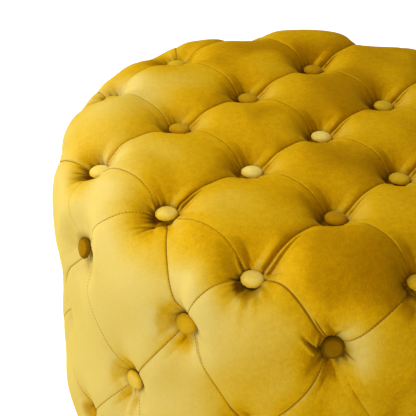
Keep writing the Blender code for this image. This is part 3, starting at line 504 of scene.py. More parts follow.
def detail(run, angle, corners, edges, centre):
    """Lift in metres and painted shade that the seams, folds and wrinkles add to a panel."""
    points = on_drum(run, angle)
    seams = [seam_relief(seam_key(*edge), run, points, centre) for edge in edges]
    weights = np.array([1 / (away + 0.002) ** 3 for lift, dark, away in seams])
    weights = weights / weights.sum(axis=0)
    lift, dark = (sum(weight * seam[part] for weight, seam in zip(weights, seams)) for part in (0, 1))
    buttons = [key for key in corners if key in BUTTONS]
    for key in buttons:
        extra, slit, away = puckers(key, points)
        lift = lift + extra
        # Painted shade in a small ring round each button
        pit = (0.25 if key[0] == "top" else 0.2) * fall(away, 11, 9)
        dark = np.maximum(dark, np.maximum(slit, pit))
    nearest = np.minimum.reduce([from_button(key, points) for key in buttons])
    waves = sum(np.sin(points @ unit(way) * CIRCLE / length + phase) for way, phase, length in WAVES)
    lift = lift + UNDULATION * waves * ease(nearest / CALM_REACH)
    return lift * MM * ease(4 * fade_at(run)) * ease(nearest / BUTTON_HOLD), dark


def dimple(corners, run, angle):
    """Share of the rise left near the buttons: tighter on the top than on the side."""
    points = on_drum(run, angle)
    share = 1
    for key in corners:
        if key in BUTTONS:
            reach = REACHES.get(key, TOP_DIMPLE_REACH if key[0] == "top" else SIDE_DIMPLE_REACH)
            share = np.minimum(share, ease(from_button(key, points) / reach))
    return share


def lozenge(corners, s, t):
    """Run, angle and lift of a four-cornered panel at two shares."""
    a, b, c, d = corners
    near, far = flat(along(a, b, s)), flat(along(d, c, s))
    left, right = flat(along(a, d, t)), flat(along(b, c, t))
    pa, pb, pc, pd = [flat(SITES[name]) for name in corners]
    s1, t1 = s[..., None], t[..., None]
    point = between(near, far, t1) + between(left, right, s1)
    run, angle = unflat(point - between(between(pa, pb, s1), between(pd, pc, s1), t1))
    over = between(seam_rise(a, b, s), seam_rise(d, c, s), t)
    side = between(seam_rise(a, d, t), seam_rise(b, c, t), s)
    swell = 1 - (2 * t - 1) ** 2
    if seam_kind(seam_key(a, b)) == "flush" and seam_kind(seam_key(d, c)) == "flush":
        swell = np.sin(math.pi * t) ** 2
    lift = rise_at(run) * (1 - (1 - over) * (1 - side)) + crown_at(run) * (1 - (2 * s - 1) ** 2) * swell
    return run, angle, lift * dimple(corners, run, angle)


def triangle(corners, shares):
    """Run, angle and lift of a three-cornered panel at the shares of its corners."""
    point = sum(share[..., None] * flat(SITES[name]) for share, name in zip(shares, corners))
    products = [shares[i] * shares[(i + 1) % 3] for i in range(3)]
    total = np.maximum(sum(products), 1e-12)
    rise = 0
    for i in range(3):
        share = shares[(i + 1) % 3] + shares[(i + 2) % 3] / 2
        point = point + (products[i] / total)[..., None] * aside(corners[i], corners[(i + 1) % 3], share)
        rise = rise + products[i] / total * seam_rise(corners[i], corners[(i + 1) % 3], share)
    run, angle = unflat(point)
    lift = rise_at(run) * rise + CORNER_CROWN * crown_at(run) * 27 * shares[0] * shares[1] * shares[2]
    return run, angle, lift * dimple(corners, run, angle)


def skirt(number, s, q):
    """Run, angle and lift of a bottom panel at its share across and its share down to the hem."""
    left, peak, right = ("lower", number), ("middle", number), ("lower", (number + 1) % COLUMNS)
    early = s <= 0.5
    first, second = np.clip(2 * s, 0, 1), np.clip(2 * s - 1, 0, 1)
    edge_run, edge_angle = np.where(early, along(left, peak, first), along(peak, right, second))
    edge = np.where(early, seam_rise(left, peak, first), seam_rise(peak, right, second))
    hem_angle = TURN * (number + s)
    edge_angle = edge_angle + CIRCLE * np.round((hem_angle - edge_angle) / CIRCLE)
    run, angle = between(edge_run, HEM_RUN, q), between(edge_angle, hem_angle, q)
    fold = seam_rise(left, ("hem", number), q)
    over = between(edge, 1, q)
    lift = rise_at(run) * (1 - (1 - over) * (1 - fold))
    lift = lift + crown_at(run) * (1 - (2 * s - 1) ** 2) * q * (2 - q)
    return run, angle, lift * dimple((left, peak, right), run, angle)


def step_shares(count):
    """Steps across a panel: close at its seams, wide in its middle."""
    half = count // 2
    gaps = 0.7 + 2.1 * ease((np.arange(half) - 5) / (half - 8))
    line = np.concatenate([[0], np.cumsum(gaps)])
    line = line / line[-1] / 2
    return np.concatenate([line, 1 - line[-2::-1]])


STEPS = 80
COARSE = 8
SHARES = step_shares(STEPS)
SEAM_LINES = {}

# Where a face has to point to look palest, on the side and on the top: towards the lamps on the left, so the paleness
# is partly the lean of the pile and partly painted sheen where the light falls
NAP_AND_LIGHT_WAY = np.array((-0.86, -0.46, 0.22))
TOP_NAP_AND_LIGHT_WAY = np.array((-0.57, -0.1, 0.2))
PALE_BASE, PALE_SLOPE = 0.12, 0.85
TOP_PALE_HEIGHT, TOP_PALE_BLEND = 0.365, 0.045
PAINTED_SPOT_DEPTH = 60 * MM

# Spots of painted light, where the amount is above 0, and of painted shade, where it is below 0, on the cover's
# paleness: three sites, the share of each, reach in mm, amount
LIGHT_AND_SHADE_SPOTS = (
    (C1, E1, E2, 0.42, 0.3, 0.28, 30, -0.45), (C1, D1, E2, 0.5, 0.38, 0.12, 28, -0.25),
    (E2, F1, F2, 0.78, 0.11, 0.11, 14, -0.5), (E1, F0, F1, 0.15, 0.05, 0.8, 20, -0.35),
    (A1, A2, B2, 0.5, 0.2, 0.3, 42, 0.3), (A2, B3, B2, 0.4, 0.2, 0.4, 30, 0.15),
    (C1, D1, C2, 0.3, 0.4, 0.3, 30, 0.12), (A1, A2, B1, 0.34, 0.33, 0.33, 60, 0.3),
    (B1, B2, C1, 0.4, 0.25, 0.35, 55, 0.3), (B2, C1, C2, 0.4, 0.4, 0.2, 40, 0.1),
    (A1, B1, B2, 0.37, 0.35, 0.28, 50, 0.32), (B1, C1, E1, 0.4, 0.35, 0.25, 40, 0.35),
    (E3, D2, E4, 0.79, 0.05, 0.16, 17, -0.8), (E3, F3, F2, 0.75, 0.17, 0.08, 14, -0.6),
    (E2, D1, C1, 0.45, 0.42, 0.13, 36, 0.36), (D1, D2, E3, 0.74, 0.18, 0.08, 12, 0.45),
    (D1, C3, D2, 0.87, 0.13, 0, 10, -0.35), (B4, B5, A3, 0.5, 0.3, 0.2, 30, -0.15),
    (E3, D2, F3, 0.45, 0.3, 0.25, 42, -0.25), (A2, A3, B3, 0.4, 0.3, 0.3, 40, -0.2),
    (A3, B4, B3, 0.45, 0.35, 0.2, 45, -0.25), (B3, C2, C3, 0.4, 0.3, 0.3, 40, -0.1),
    (C3, D2, C3, 0.3, 0.4, 0.3, 45, -0.2), (C3, B4, C4, 0.34, 0.33, 0.33, 55, -0.2),
    (B4, C4, B5, 0.34, 0.33, 0.33, 50, -0.15), (D1, D2, E3, 0.3, 0.4, 0.3, 40, -0.2),
    (E2, F2, E3, 0.3, 0.45, 0.25, 45, -0.15), (F1, F2, G2, 0.4, 0.3, 0.3, 40, -0.15),
    (D1, E3, D2, 0.4, 0.4, 0.2, 42, -0.1), (E3, F2, F3, 0.4, 0.4, 0.2, 40, -0.2),
    (E3, F3, F2, 0.72, 0.28, 0, 26, -0.6))

# The same on the crown of a panel, where distances are measured across the panel
CROWN_LIGHT_AND_SHADE_SPOTS = (
    (D1, C2, C1, 0.42, 0.43, 0.15, 34, 0.28), (C3, C2, B3, 0.5, 0.3, 0.2, 26, 0.2),
    (B1, C1, E1, 0.1, 0.5, 0.4, 38, 0.25), (A2, B2, B3, 0.45, 0.3, 0.25, 30, 0.25),
    (B3, B4, A3, 0.4, 0.4, 0.2, 26, 0.2), (D1, D2, C3, 0.45, 0.4, 0.15, 22, 0.15),
    (E2, D1, C1, 0.45, 0.42, 0.13, 38, 0.12), (D2, E3, D1, 0.54, 0.46, 0, 52, -0.18),
    (E2, E1, F1, 0.82, 0.14, 0.04, 17, 0.3), (F1, E1, F0, 0.8, 0.12, 0.08, 14, 0.3))
PAINTED_LIGHT_AND_SHADE = []
for row in LIGHT_AND_SHADE_SPOTS + CROWN_LIGHT_AND_SHADE_SPOTS:
    names, shares, (reach, amount) = row[:3], row[3:6], row[6:]
    spot = sum(share * on_drum(*SITES[name]) for name, share in zip(names, shares))
    facing = unit(sum(share * normal_at(*SITES[name]) for name, share in zip(names, shares)))
    PAINTED_LIGHT_AND_SHADE.append((spot, facing * (row in CROWN_LIGHT_AND_SHADE_SPOTS), reach * MM, amount))


def in_scene(name, data):
    item = bpy.data.objects.new(name, data)
    bpy.context.scene.collection.objects.link(item)
    return item


def new_mesh(name, points, faces):
    mesh = bpy.data.meshes.new(name)
    mesh.from_pydata(np.array(points).tolist(), [], faces)
    return mesh


def new_piece(mesh, material, slot, *nodes, smooth=True, sharp=None):
    """Object of a mesh that rides root and stands for the named CAD nodes; sharp is an angle in degrees."""
    if smooth:
        mesh.shade_smooth()
    if sharp:
        mesh.set_sharp_from_angle(angle=math.radians(sharp))
    mesh.materials.append(material)
    item = in_scene(mesh.name, mesh)
    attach(item, "root")
    if nodes:
        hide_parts(*nodes)
    return item


class Cover:
    """Gathers the panels of one cover: a fine outer face and a coarse lining, joined where the cover ends."""

    def __init__(self, name, parted):
        self.name, self.parted = name, parted
        self.points, self.darks, self.faces = [], [], []
        self.count = 0

    def add(self, points, dark):
        start = self.count
        self.points.append(points.reshape(-1, 3))
        self.darks.append(np.broadcast_to(dark, points.shape[:-1]).reshape(-1))
        self.count += len(self.points[-1])
        return start

    def grid(self, points, dark, flip):
        rows, columns = points.shape[:2]
        index = np.arange(rows * columns).reshape(rows, columns) + self.add(points, dark)
        quads = np.stack([index[:-1, :-1], index[1:, :-1], index[1:, 1:], index[:-1, 1:]], axis=-1).reshape(-1, 4)
        self.faces += (quads[:, ::-1] if flip else quads).tolist()
        return index

    def wall(self, outer, inner):
        """Closes the cover between a fine edge and the coarse edge below it, given as vertex numbers."""
        size = (len(outer) - 1) // (len(inner) - 1)
        for k in range(len(inner) - 1):
            self.faces.append([*outer[k * size:(k + 1) * size + 1].tolist(), int(inner[k + 1]), int(inner[k])])

    def seam(self, first, second, outer, inner, run, angle):
        key = seam_key(first, second)
        points = np.concatenate(self.points)[outer]
        normals = normal_at(run, angle)
        SEAM_LINES[key] = (points, normals) if key[0] == first else (points[::-1], normals[::-1])
        if key in self.parted:
            self.wall(outer, inner)

    def panel(self, place, corners, edges, sides, u, v):
        """One panel over a grid of two shares; place gives run, angle and lift."""
        run, angle, lift = place(*np.meshgrid(u, v, indexing="ij"))
        half = np.array((0.5,))
        centre = on_drum(*place(half, half)[:2])[0]
        extra, dark = detail(run, angle, corners, edges, centre)
        outer = self.grid(on_drum(run, angle, lift + extra), dark, False)
        low_run, low_angle = run[::COARSE, ::COARSE], angle[::COARSE, ::COARSE]
        inner = self.grid(on_drum(low_run, low_angle, -backing_at(low_run)), 1, True)
        for edge, pick in zip(edges, sides):
            self.seam(*edge, pick(outer), pick(inner), pick(run), pick(angle))
        return outer, inner

    def lozenge(self, corners):
        edges = [(corners[i], corners[(i + 1) % 4]) for i in range(4)]
        sides = [lambda g: g[:, 0], lambda g: g[-1, :], lambda g: g[::-1, -1], lambda g: g[0, ::-1]]
        self.panel(lambda s, t: lozenge(corners, s, t), corners, edges, sides, SHARES, SHARES)

    def skirt(self, number):
        following = (number + 1) % COLUMNS
        left, peak, right = ("lower", number), ("middle", number), ("lower", following)
        across = np.concatenate([SHARES / 2, 0.5 + SHARES[1:] / 2])
        down = np.concatenate([SHARES[:STEPS // 2] * 0.8, np.linspace(0.4, 1, STEPS - STEPS // 2 + 1)])
        edges = [(left, peak), (peak, right), (right, ("hem", following)), (left, ("hem", number))]
        sides = [lambda g: g[:(len(g) + 1) // 2, 0], lambda g: g[(len(g) - 1) // 2:, 0],
                 lambda g: g[-1, :], lambda g: g[0, :]]
        outer, inner = self.panel(lambda s, q: skirt(number, s, q), (left, peak, right), edges, sides, across, down)
        self.wall(outer[:, -1], inner[:, -1])

    def triangle(self, corners):
        """One three-cornered panel, its points numbered by their steps towards two of the corners."""
        edges = [(corners[i], corners[(i + 1) % 3]) for i in range(3)]
        centre = on_drum(*triangle(corners, [np.array((1 / 3,))] * 3)[:2])[0]
        layers = []
        for inner, shares in enumerate((SHARES, SHARES[::COARSE])):
            last = len(shares) - 1
            places = [(i, j) for i in range(last + 1) for j in range(last + 1 - i)]
            rows = np.array([(shares[i], shares[j], shares[last - i - j]) for i, j in places])
            run, angle, lift = triangle(corners, (rows / rows.sum(axis=1, keepdims=True)).T)
            if inner:
                start = self.add(on_drum(run, angle, -backing_at(run)), 1)
            else:
                extra, dark = detail(run, angle, corners, edges, centre)
                start = self.add(on_drum(run, angle, lift + extra), dark)
            index = {place: number for number, place in enumerate(places)}
            for i, j in places:
                for loop in (((i + 1, j), (i, j + 1), (i, j)), ((i + 1, j), (i + 1, j + 1), (i, j + 1))):
                    if all(place in index for place in loop):
                        loop = [start + index[place] for place in loop]
                        self.faces.append(loop[::-1] if inner else loop)
            lines = [[(last - k, k), (0, last - k), (k, 0)] for k in range(last + 1)]
            layers.append((start, np.array([[index[place] for place in line] for line in lines]).T, run, angle))
        (start, picks, run, angle), (low_start, low_picks, _, _) = layers
        for edge, pick, low_pick in zip(edges, picks, low_picks):
            self.seam(*edge, start + pick, low_start + low_pick, run[pick], angle[pick])

    def finish(self, material, slot, node, weld=0.02 * MM):
        """Welds the panels, sets the painted shade and the paleness at each point, the paleness partly the lean of
        the pile and partly painted sheen towards the lamps, and makes the piece.
        """
        mesh = new_mesh(self.name, np.concatenate(self.points), self.faces)
        # Painted shade in the seam lines, folds, pinches and button hollows, kept as a point attribute
        layer = mesh.attributes.new("crease", "FLOAT", "POINT")
        layer.data.foreach_set("value", np.concatenate(self.darks).astype(np.float32))
        built = bmesh.new()
        built.from_mesh(mesh)
        bmesh.ops.remove_doubles(built, verts=built.verts, dist=weld)
        bmesh.ops.recalc_face_normals(built, faces=built.faces)
        built.to_mesh(mesh)
        built.free()
        normals, places = np.empty((2, len(mesh.vertices) * 3))
        mesh.vertex_normals.foreach_get("vector", normals)
        layer = mesh.attributes.new("lay", "FLOAT", "POINT")
        mesh.vertices.foreach_get("co", places)
        places, normals = places.reshape(-1, 3), normals.reshape(-1, 3)
        # Paleness from how far the normal turns to the lamps on the left: partly the lean of the pile, partly painted
        # sheen where the key light falls
        high = climb(places[:, 2], TOP_PALE_HEIGHT, TOP_PALE_BLEND)
        lay = ease(PALE_BASE + PALE_SLOPE * between(normals @ NAP_AND_LIGHT_WAY, normals @ TOP_NAP_AND_LIGHT_WAY, high))
        # Spots of painted light and painted shade raise or lower the paleness
        for spot, facing, reach, amount in PAINTED_LIGHT_AND_SHADE:
            off = places - spot
            up = off @ facing
            away = np.linalg.norm(off - up[:, None] * facing, axis=1)
            lay = lay + amount * fall(away / reach, 0.5, 0.9) * (np.abs(up) < PAINTED_SPOT_DEPTH)
        layer.data.foreach_set("value", lay.astype(np.float32))
        return new_piece(mesh, material, slot, node, sharp=75)


def parting():
    """The seams between the top cover and the side covers."""
    return {seam_key(RIM[n], ("upper", m % COLUMNS)) for n in range(COLUMNS) for m in (n, n + 1)}


def corner_at(column, row):
    if ("top", column, row) not in BUTTONS and column * row == 0:
        return ("upper", round(math.atan2(row, column) / TURN) % COLUMNS)
    return ("top", column, row)


# Materials
def feed(node, values):
    """Links each named or numbered socket to an output, or sets it to a number, a vector or a colour."""
    for name, value in values.items():
        socket = node.inputs[name]
        if hasattr(value, "is_output"):
            node.id_data.links.new(value, socket)
        else:
            socket.default_value = (*value, 1) if socket.type == "RGBA" else value


def add_node(tree, kind, values=None, **settings):
    node = tree.nodes.new("ShaderNode" + kind)
    for name, value in settings.items():
        setattr(node, name, value)
    feed(node, values or {})
    return node


def new_material(name):
    material = bpy.data.materials.new(name)
    material.use_nodes = True
    return material, material.node_tree, material.node_tree.nodes["Principled BSDF"]


def attribute(tree, name):
    return add_node(tree, "Attribute", attribute_name=name).outputs["Fac"]


def place_of(tree, stretch=(1, 1, 1)):
    coordinate = add_node(tree, "TexCoord")
    return add_node(tree, "Mapping", {"Vector": coordinate.outputs["Object"], "Scale": stretch}).outputs["Vector"]


def calculate(operation, source, *others, clamp=False):
    values = dict(enumerate((source, *others)))
    return add_node(source.id_data, "Math", values, operation=operation, use_clamp=clamp).outputs[0]


def mix(factor, first, second, mode="MIX"):
    node = add_node(first.id_data, "Mix", data_type="RGBA", blend_type=mode)
    feed(node, {0: factor, 6: first, 7: second})
    return node.outputs[2]


def ramp(source, *stops):
    """Colour ramp over position and colour pairs."""
    node = add_node(source.id_data, "ValToRGB", {0: source})
    elements = node.color_ramp.elements
    while len(elements) < len(stops):
        elements.new(0.5)
    for element, (position, *color) in zip(elements, stops):
        element.position = position
        element.color = (*color, 1)
    return node.outputs[0]


def noise(vector, scale, detail, roughness):
    values = {"Vector": vector, "Scale": scale, "Detail": detail, "Roughness": roughness}
    return add_node(vector.id_data, "TexNoise", values).outputs["Fac"]


def bump(height, strength, distance, before=None):
    values = {"Height": height, "Strength": strength, "Distance": distance}
    if before:
        values["Normal"] = before
    return add_node(height.id_data, "Bump", values).outputs["Normal"]


def set_pile(shader, color, normal, roughness, sheen, tint):
    feed(shader, {"Base Color": color, "Normal": normal, "Roughness": roughness, "Specular IOR Level": 0,
                  "Sheen Weight": sheen, "Sheen Roughness": 0.5, "Sheen Tint": tint})


def velvet(name):
    """Short-pile velvet: pale where the face turns to the lamps, partly the lean of its pile and partly painted
    sheen, fine upright grain, and painted shade in its folds.
    """
    material, tree, shader = new_material(name)
    vector = place_of(tree)
    mottle = noise(vector, 170, 3, 0.65)
    pile = noise(place_of(tree, (1, 1, 0.28)), 760, 2, 0.6)
    patches = calculate("MULTIPLY_ADD", noise(vector, 8, 3, 0.5), 0.3, -0.15)
    lay = calculate("ADD", attribute(tree, "lay"), patches)
    # From deep orange to a whiter pale gold: the pale end is partly painted sheen
    color = ramp(lay, (0, 0.44, 0.20, 0.0006), (0.2, 0.66, 0.345, 0.002), (0.45, 0.68, 0.39, 0.008),
                 (0.75, 0.68, 0.45, 0.055), (1, 0.68, 0.51, 0.13))
    shade = ramp(mottle, (0.32, 0.88, 0.87, 0.84), (0.68, 1.06, 1.06, 1.06))
    color = mix(calculate("MULTIPLY_ADD", lay, -1, 1.15, clamp=True), color, shade, "MULTIPLY")
    fleck = ramp(pile, (0.35, 0.83, 0.81, 0.72), (0.65, 1, 1, 1))
    color = mix(calculate("MULTIPLY_ADD", lay, -0.9, 1.1, clamp=True), color, fleck, "MULTIPLY")
    # Painted shade: the cloth turns deep brown where that attribute is set
    color = mix(attribute(tree, "crease"), color, (0.11, 0.034, 0.002))
    normal = bump(mottle, 0.1, 0.6 * MM, bump(pile, 0.3, 0.3 * MM))
    set_pile(shader, color, normal, 0.62, 0.15, (1, 0.84, 0.04))
    return material


def button_velvet():
    """The same cloth on a button, with painted light and shade: each button's painted tone, pale where lit and dark
    where shaded.
    """
    material, tree, shader = new_material("button_velvet")
    vector = place_of(tree)
    pile = noise(vector, 900, 2, 0.6)
    mottle = noise(vector, 140, 3, 0.6)
    # Painted light and shade: a button's painted tone runs from dark brown where shaded to pale gold where lit
    color = ramp(attribute(tree, "nap"), (0, 0.13, 0.06, 0.001), (0.35, 0.46, 0.21, 0.002),
                 (0.6, 0.68, 0.42, 0.012), (1, 0.97, 0.77, 0.21))
    color = mix(1, color, ramp(mottle, (0.3, 0.84, 0.82, 0.78), (0.7, 1, 1, 1)), "MULTIPLY")
    set_pile(shader, color, bump(mottle, 0.4, 0.8 * MM, bump(pile, 0.35, 0.35 * MM)), 0.6, 0.2, (1, 0.84, 0.08))
    return material


def simple(name, first, second, scale, roughness, grain=(1, 1, 1), metallic=0, depth=0.3, fine=0):
    """Mottled or grained surface from two colours and one stretched noise."""
    material, tree, shader = new_material(name)
    vector = place_of(tree, grain)
    height = noise(vector, fine or scale * 3, 3, 0.6)
    feed(shader, {"Base Color": ramp(noise(vector, scale, 4, 0.6), (0.3, *first), (0.7, *second)),
                  "Normal": bump(height, depth, 0.4 * MM), "Roughness": roughness, "Metallic": metallic})
    return material


def non_woven():
    """Black spun lining cloth with its small bonded dots."""
    material, tree, shader = new_material("spun_lining")
    fibre = noise(place_of(tree, (1, 0.3, 1)), 700, 3, 0.7)
    dots = add_node(tree, "TexVoronoi", {"Vector": place_of(tree), "Scale": 420, "Randomness": 0})
    normal = bump(dots.outputs["Distance"], 0.5, 0.3 * MM, bump(fibre, 0.3, 0.2 * MM))
    feed(shader, {"Base Color": ramp(fibre, (0.3, 0.012, 0.012, 0.013), (0.75, 0.05, 0.05, 0.052)),
                  "Normal": normal, "Roughness": 0.92})
    return material


VELVET_TOP = velvet("cover_velvet_top")
VELVET_SIDE = velvet("cover_velvet_side")
BUTTON_VELVET = button_velvet()
LINING = non_woven()
THREAD = simple("seam_thread", (0.2, 0.09, 0.002), (0.32, 0.165, 0.006), 700, 0.8)
feed(THREAD.node_tree.nodes["Principled BSDF"], {"Specular IOR Level": 0})
TWINE = simple("waxed_twine", (0.42, 0.34, 0.2), (0.6, 0.5, 0.33), 500, 0.6)
FOAM = simple("cut_foam", (0.74, 0.69, 0.5), (0.86, 0.82, 0.66), 240, 0.95, depth=0.9, fine=900)
PLYWOOD = simple("birch_plywood", (0.5, 0.34, 0.18), (0.7, 0.53, 0.33), 26, 0.68, (1, 0.12, 9))
HARDBOARD = simple("hardboard", (0.2, 0.11, 0.05), (0.36, 0.22, 0.11), 300, 0.75)
PINE = simple("sawn_pine", (0.6, 0.4, 0.2), (0.82, 0.65, 0.41), 55, 0.66, (1, 1, 0.06))
ZINC = simple("zinc_screw", (0.5, 0.5, 0.49), (0.68, 0.68, 0.66), 160, 0.34, metallic=1, depth=0.1)
GLIDE = simple("moulded_glide", (0.022, 0.021, 0.02), (0.04, 0.038, 0.036), 300, 0.45, depth=0.15)
STAPLE = simple("staple_wire", (0.55, 0.55, 0.53), (0.72, 0.72, 0.7), 300, 0.3, metallic=1, depth=0.1)

for name, item in NODES.items():
    for prefix, material in (("seat_deck", PLYWOOD), ("base_ring", PLYWOOD),
                             ("drum_hoop", HARDBOARD), ("post_", PINE), ("glide_screw", ZINC)):
        if name.startswith(prefix):
            for place in item.material_slots:
                place.material = material

# Covers
top = Cover("velvet_top_cover", parting())
for column, row in LATTICE:
    corners = [corner_at(column + dx, row + dy) for dx, dy in ((1, 0), (0, 1), (-1, 0), (0, -1))]
    if (column + row) % 2 and all(name in BUTTONS for name in corners):
        top.lozenge(corners)
for number in range(COLUMNS):
    following = (number + 1) % COLUMNS
    if following % 3:
        top.triangle((RIM[following], RIM[number], ("upper", following)))
top.finish(VELVET_TOP, "velvet_top", "top_cover", weld=0.22 * MM)

for panel in range(4):
    first = panel * 3
    parted = parting()
    for start in (first, (first + 3) % COLUMNS):
        before, lower = ("middle", (start - 1) % COLUMNS), ("lower", start)
        parted |= {seam_key(before, ("upper", start)), seam_key(before, lower), seam_key(lower, ("hem", start))}
    wall = Cover(f"velvet_side_cover_{panel + 1}", parted)
    for number in range(first, first + 3):
        before, after = (number - 1) % COLUMNS, (number + 1) % COLUMNS
        wall.lozenge((RIM[number], ("upper", number), ("middle", number), ("upper", after)))
        wall.lozenge((("upper", number), ("middle", before), ("lower", number), ("middle", number)))
        wall.skirt(number)
    wall.finish(VELVET_SIDE, "velvet_side", f"side_cover_{panel + 1}")

# Foam and lining under the covers
FACETS = 24


def rounded(name, node, reach, material, slot):
    """Finer copy of a turned solid of the CAD: its long edges are cut, and its facets become true rounds."""
    built = bmesh.new()
    built.from_mesh(NODES[node].data)
    built.transform(NODES[node].matrix_world)
    bmesh.ops.remove_doubles(built, verts=built.verts, dist=0.001 * MM)
    for _ in range(4):
        long = [edge for edge in built.edges if edge.calc_length() > reach]
        if not long:
            break
        bmesh.ops.subdivide_edges(built, edges=long, cuts=1)
        bmesh.ops.triangulate(built, faces=built.faces)
    half = math.pi / FACETS
    for corner in built.verts:
        if math.hypot(corner.co.x, corner.co.y) > 1e-6:
            off = math.atan2(corner.co.y, corner.co.x) % (2 * half) - half
            factor = math.cos(off) / math.cos(half)
            corner.co.x *= factor
            corner.co.y *= factor
    bmesh.ops.recalc_face_normals(built, faces=built.faces)
    for face in built.faces:
        face.material_index = 0
    mesh = bpy.data.meshes.new(name)
    built.to_mesh(mesh)
    built.free()
    mesh.validate()
    return new_piece(mesh, material, slot, node, sharp=35)


rounded("top_foam_pad", "top_foam", 12.0 * MM, FOAM, "foam")
rounded("side_foam_wrap", "side_foam", 12.0 * MM, FOAM, "foam")
lining = rounded("lining_sheet", "dust_cover", 9 * MM, LINING, "non_woven")
low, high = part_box("dust_cover")


def band(start, rings, sides, closed=False, flip=False):
    """Faces between rings of points numbered ring by ring; closed also joins the last ring to the first."""
    faces = []
    for ring in range(rings if closed else rings - 1):
        a, b = start + ring * sides, start + (ring + 1) % rings * sides
        for side in range(sides):
            following = (side + 1) % sides
            face = (a + side, a + following, b + following, b + side)
            faces.append(face[:1] + face[:0:-1] if flip else face)
    return faces


def fan(tip, start, sides, flip=False):
    """Faces between a tip and the ring of points that starts at a number."""
    loops = [(tip, start + (side + 1) % sides, start + side) for side in range(sides)]
    return [loop[::-1] for loop in loops] if flip else loops


# Stitches sunk in the seams
STITCH_PITCH = 3.3 * MM
STITCH_LENGTH = 2.2 * MM
STITCH_RADIUS = 0.36 * MM
STITCH_SINK = 0.1 * MM
STITCH_START, HEM_STITCH_END = 15 * MM, 45 * MM
STITCH_SIDES = 5
LEAST_SEAM = 0.3


def stitches(name, rows):
    """Small threads along the seams that end in one of the rows."""
    points, faces = [], []
    for key, (line, normals) in sorted(SEAM_LINES.items(), key=lambda pair: str(pair[0])):
        if key[1][0] not in rows or SEAM_SET.get(key, PLAIN_SEAM)[1] < LEAST_SEAM:
            continue
        travel = np.concatenate([[0], np.cumsum(np.linalg.norm(np.diff(line, axis=0), axis=1))])

        def at(values, place):
            return np.array([np.interp(place, travel, values[:, k]) for k in range(3)])

        here = STITCH_START
        last = travel[-1] - (HEM_STITCH_END if key[1][0] == "hem" else STITCH_START)
        while here < last:
            tail, head = at(line, here - STITCH_LENGTH / 2), at(line, here + STITCH_LENGTH / 2)
            way = unit(head - tail)
            over = unit(np.cross(at(normals, here), way))
            up = np.cross(way, over)
            start = len(points)
            points.append(tail - up * 3 * STITCH_SINK)
            for share in (0.22, 0.78):
                middle = between(tail, head, share) + up * STITCH_SINK
                points += [middle + STITCH_RADIUS * (math.cos(tilt) * over + math.sin(tilt) * up)
                           for tilt in turns_of(STITCH_SIDES)]
            points.append(head - up * 3 * STITCH_SINK)
            faces += fan(start, start + 1, STITCH_SIDES) + band(start + 1, 2, STITCH_SIDES)
            faces += fan(len(points) - 1, start + 1 + STITCH_SIDES, STITCH_SIDES, flip=True)
            here += STITCH_PITCH
    new_piece(new_mesh(name, points, faces), THREAD, "velvet_top")


stitches("top_seam_stitches", ("top", "upper"))
stitches("side_seam_stitches", ("middle", "lower", "hem"))

# Covered buttons with their twine: painted light and shade of single ones, pale where lit and dark where shaded, and
# radius and height along the dome in mm
PLAIN_PAINTED_TONE = 0.62
BUTTON_PAINTED_TONES = {C1: 0.75, D1: 0.8, C2: 0.9, C3: 0.9, B1: 0.85, B2: 0.46, B3: 0.46, B4: 0.4, D2: 0.38,
        E1: 0.22, E2: 0.52, F1: 0.72, E3: 0.15, G1: 0.4}
DOME = ((0, 10.4), (2.5, 10.3), (4.9, 9.95), (7, 9.4), (8.7, 8.7), (9.9, 7.9), (10.6, 7.1), (10.8, 6.5),
        (10.3, 5.6), (8.2, 4.4), (1.2, 0.8))
KNOT = ((1.2, 0), (4.2, 0.2), (5.2, -1), (4.6, -2.6))
BUTTON_SIDES = 40
TOP_LEVEL, UPPER_LEVEL = 0.75, 0.3
TWINE_END = 6 * MM
CORD_RADIUS = 1.8 * MM
CORD_STEPS, CORD_SIDES = 144, 8


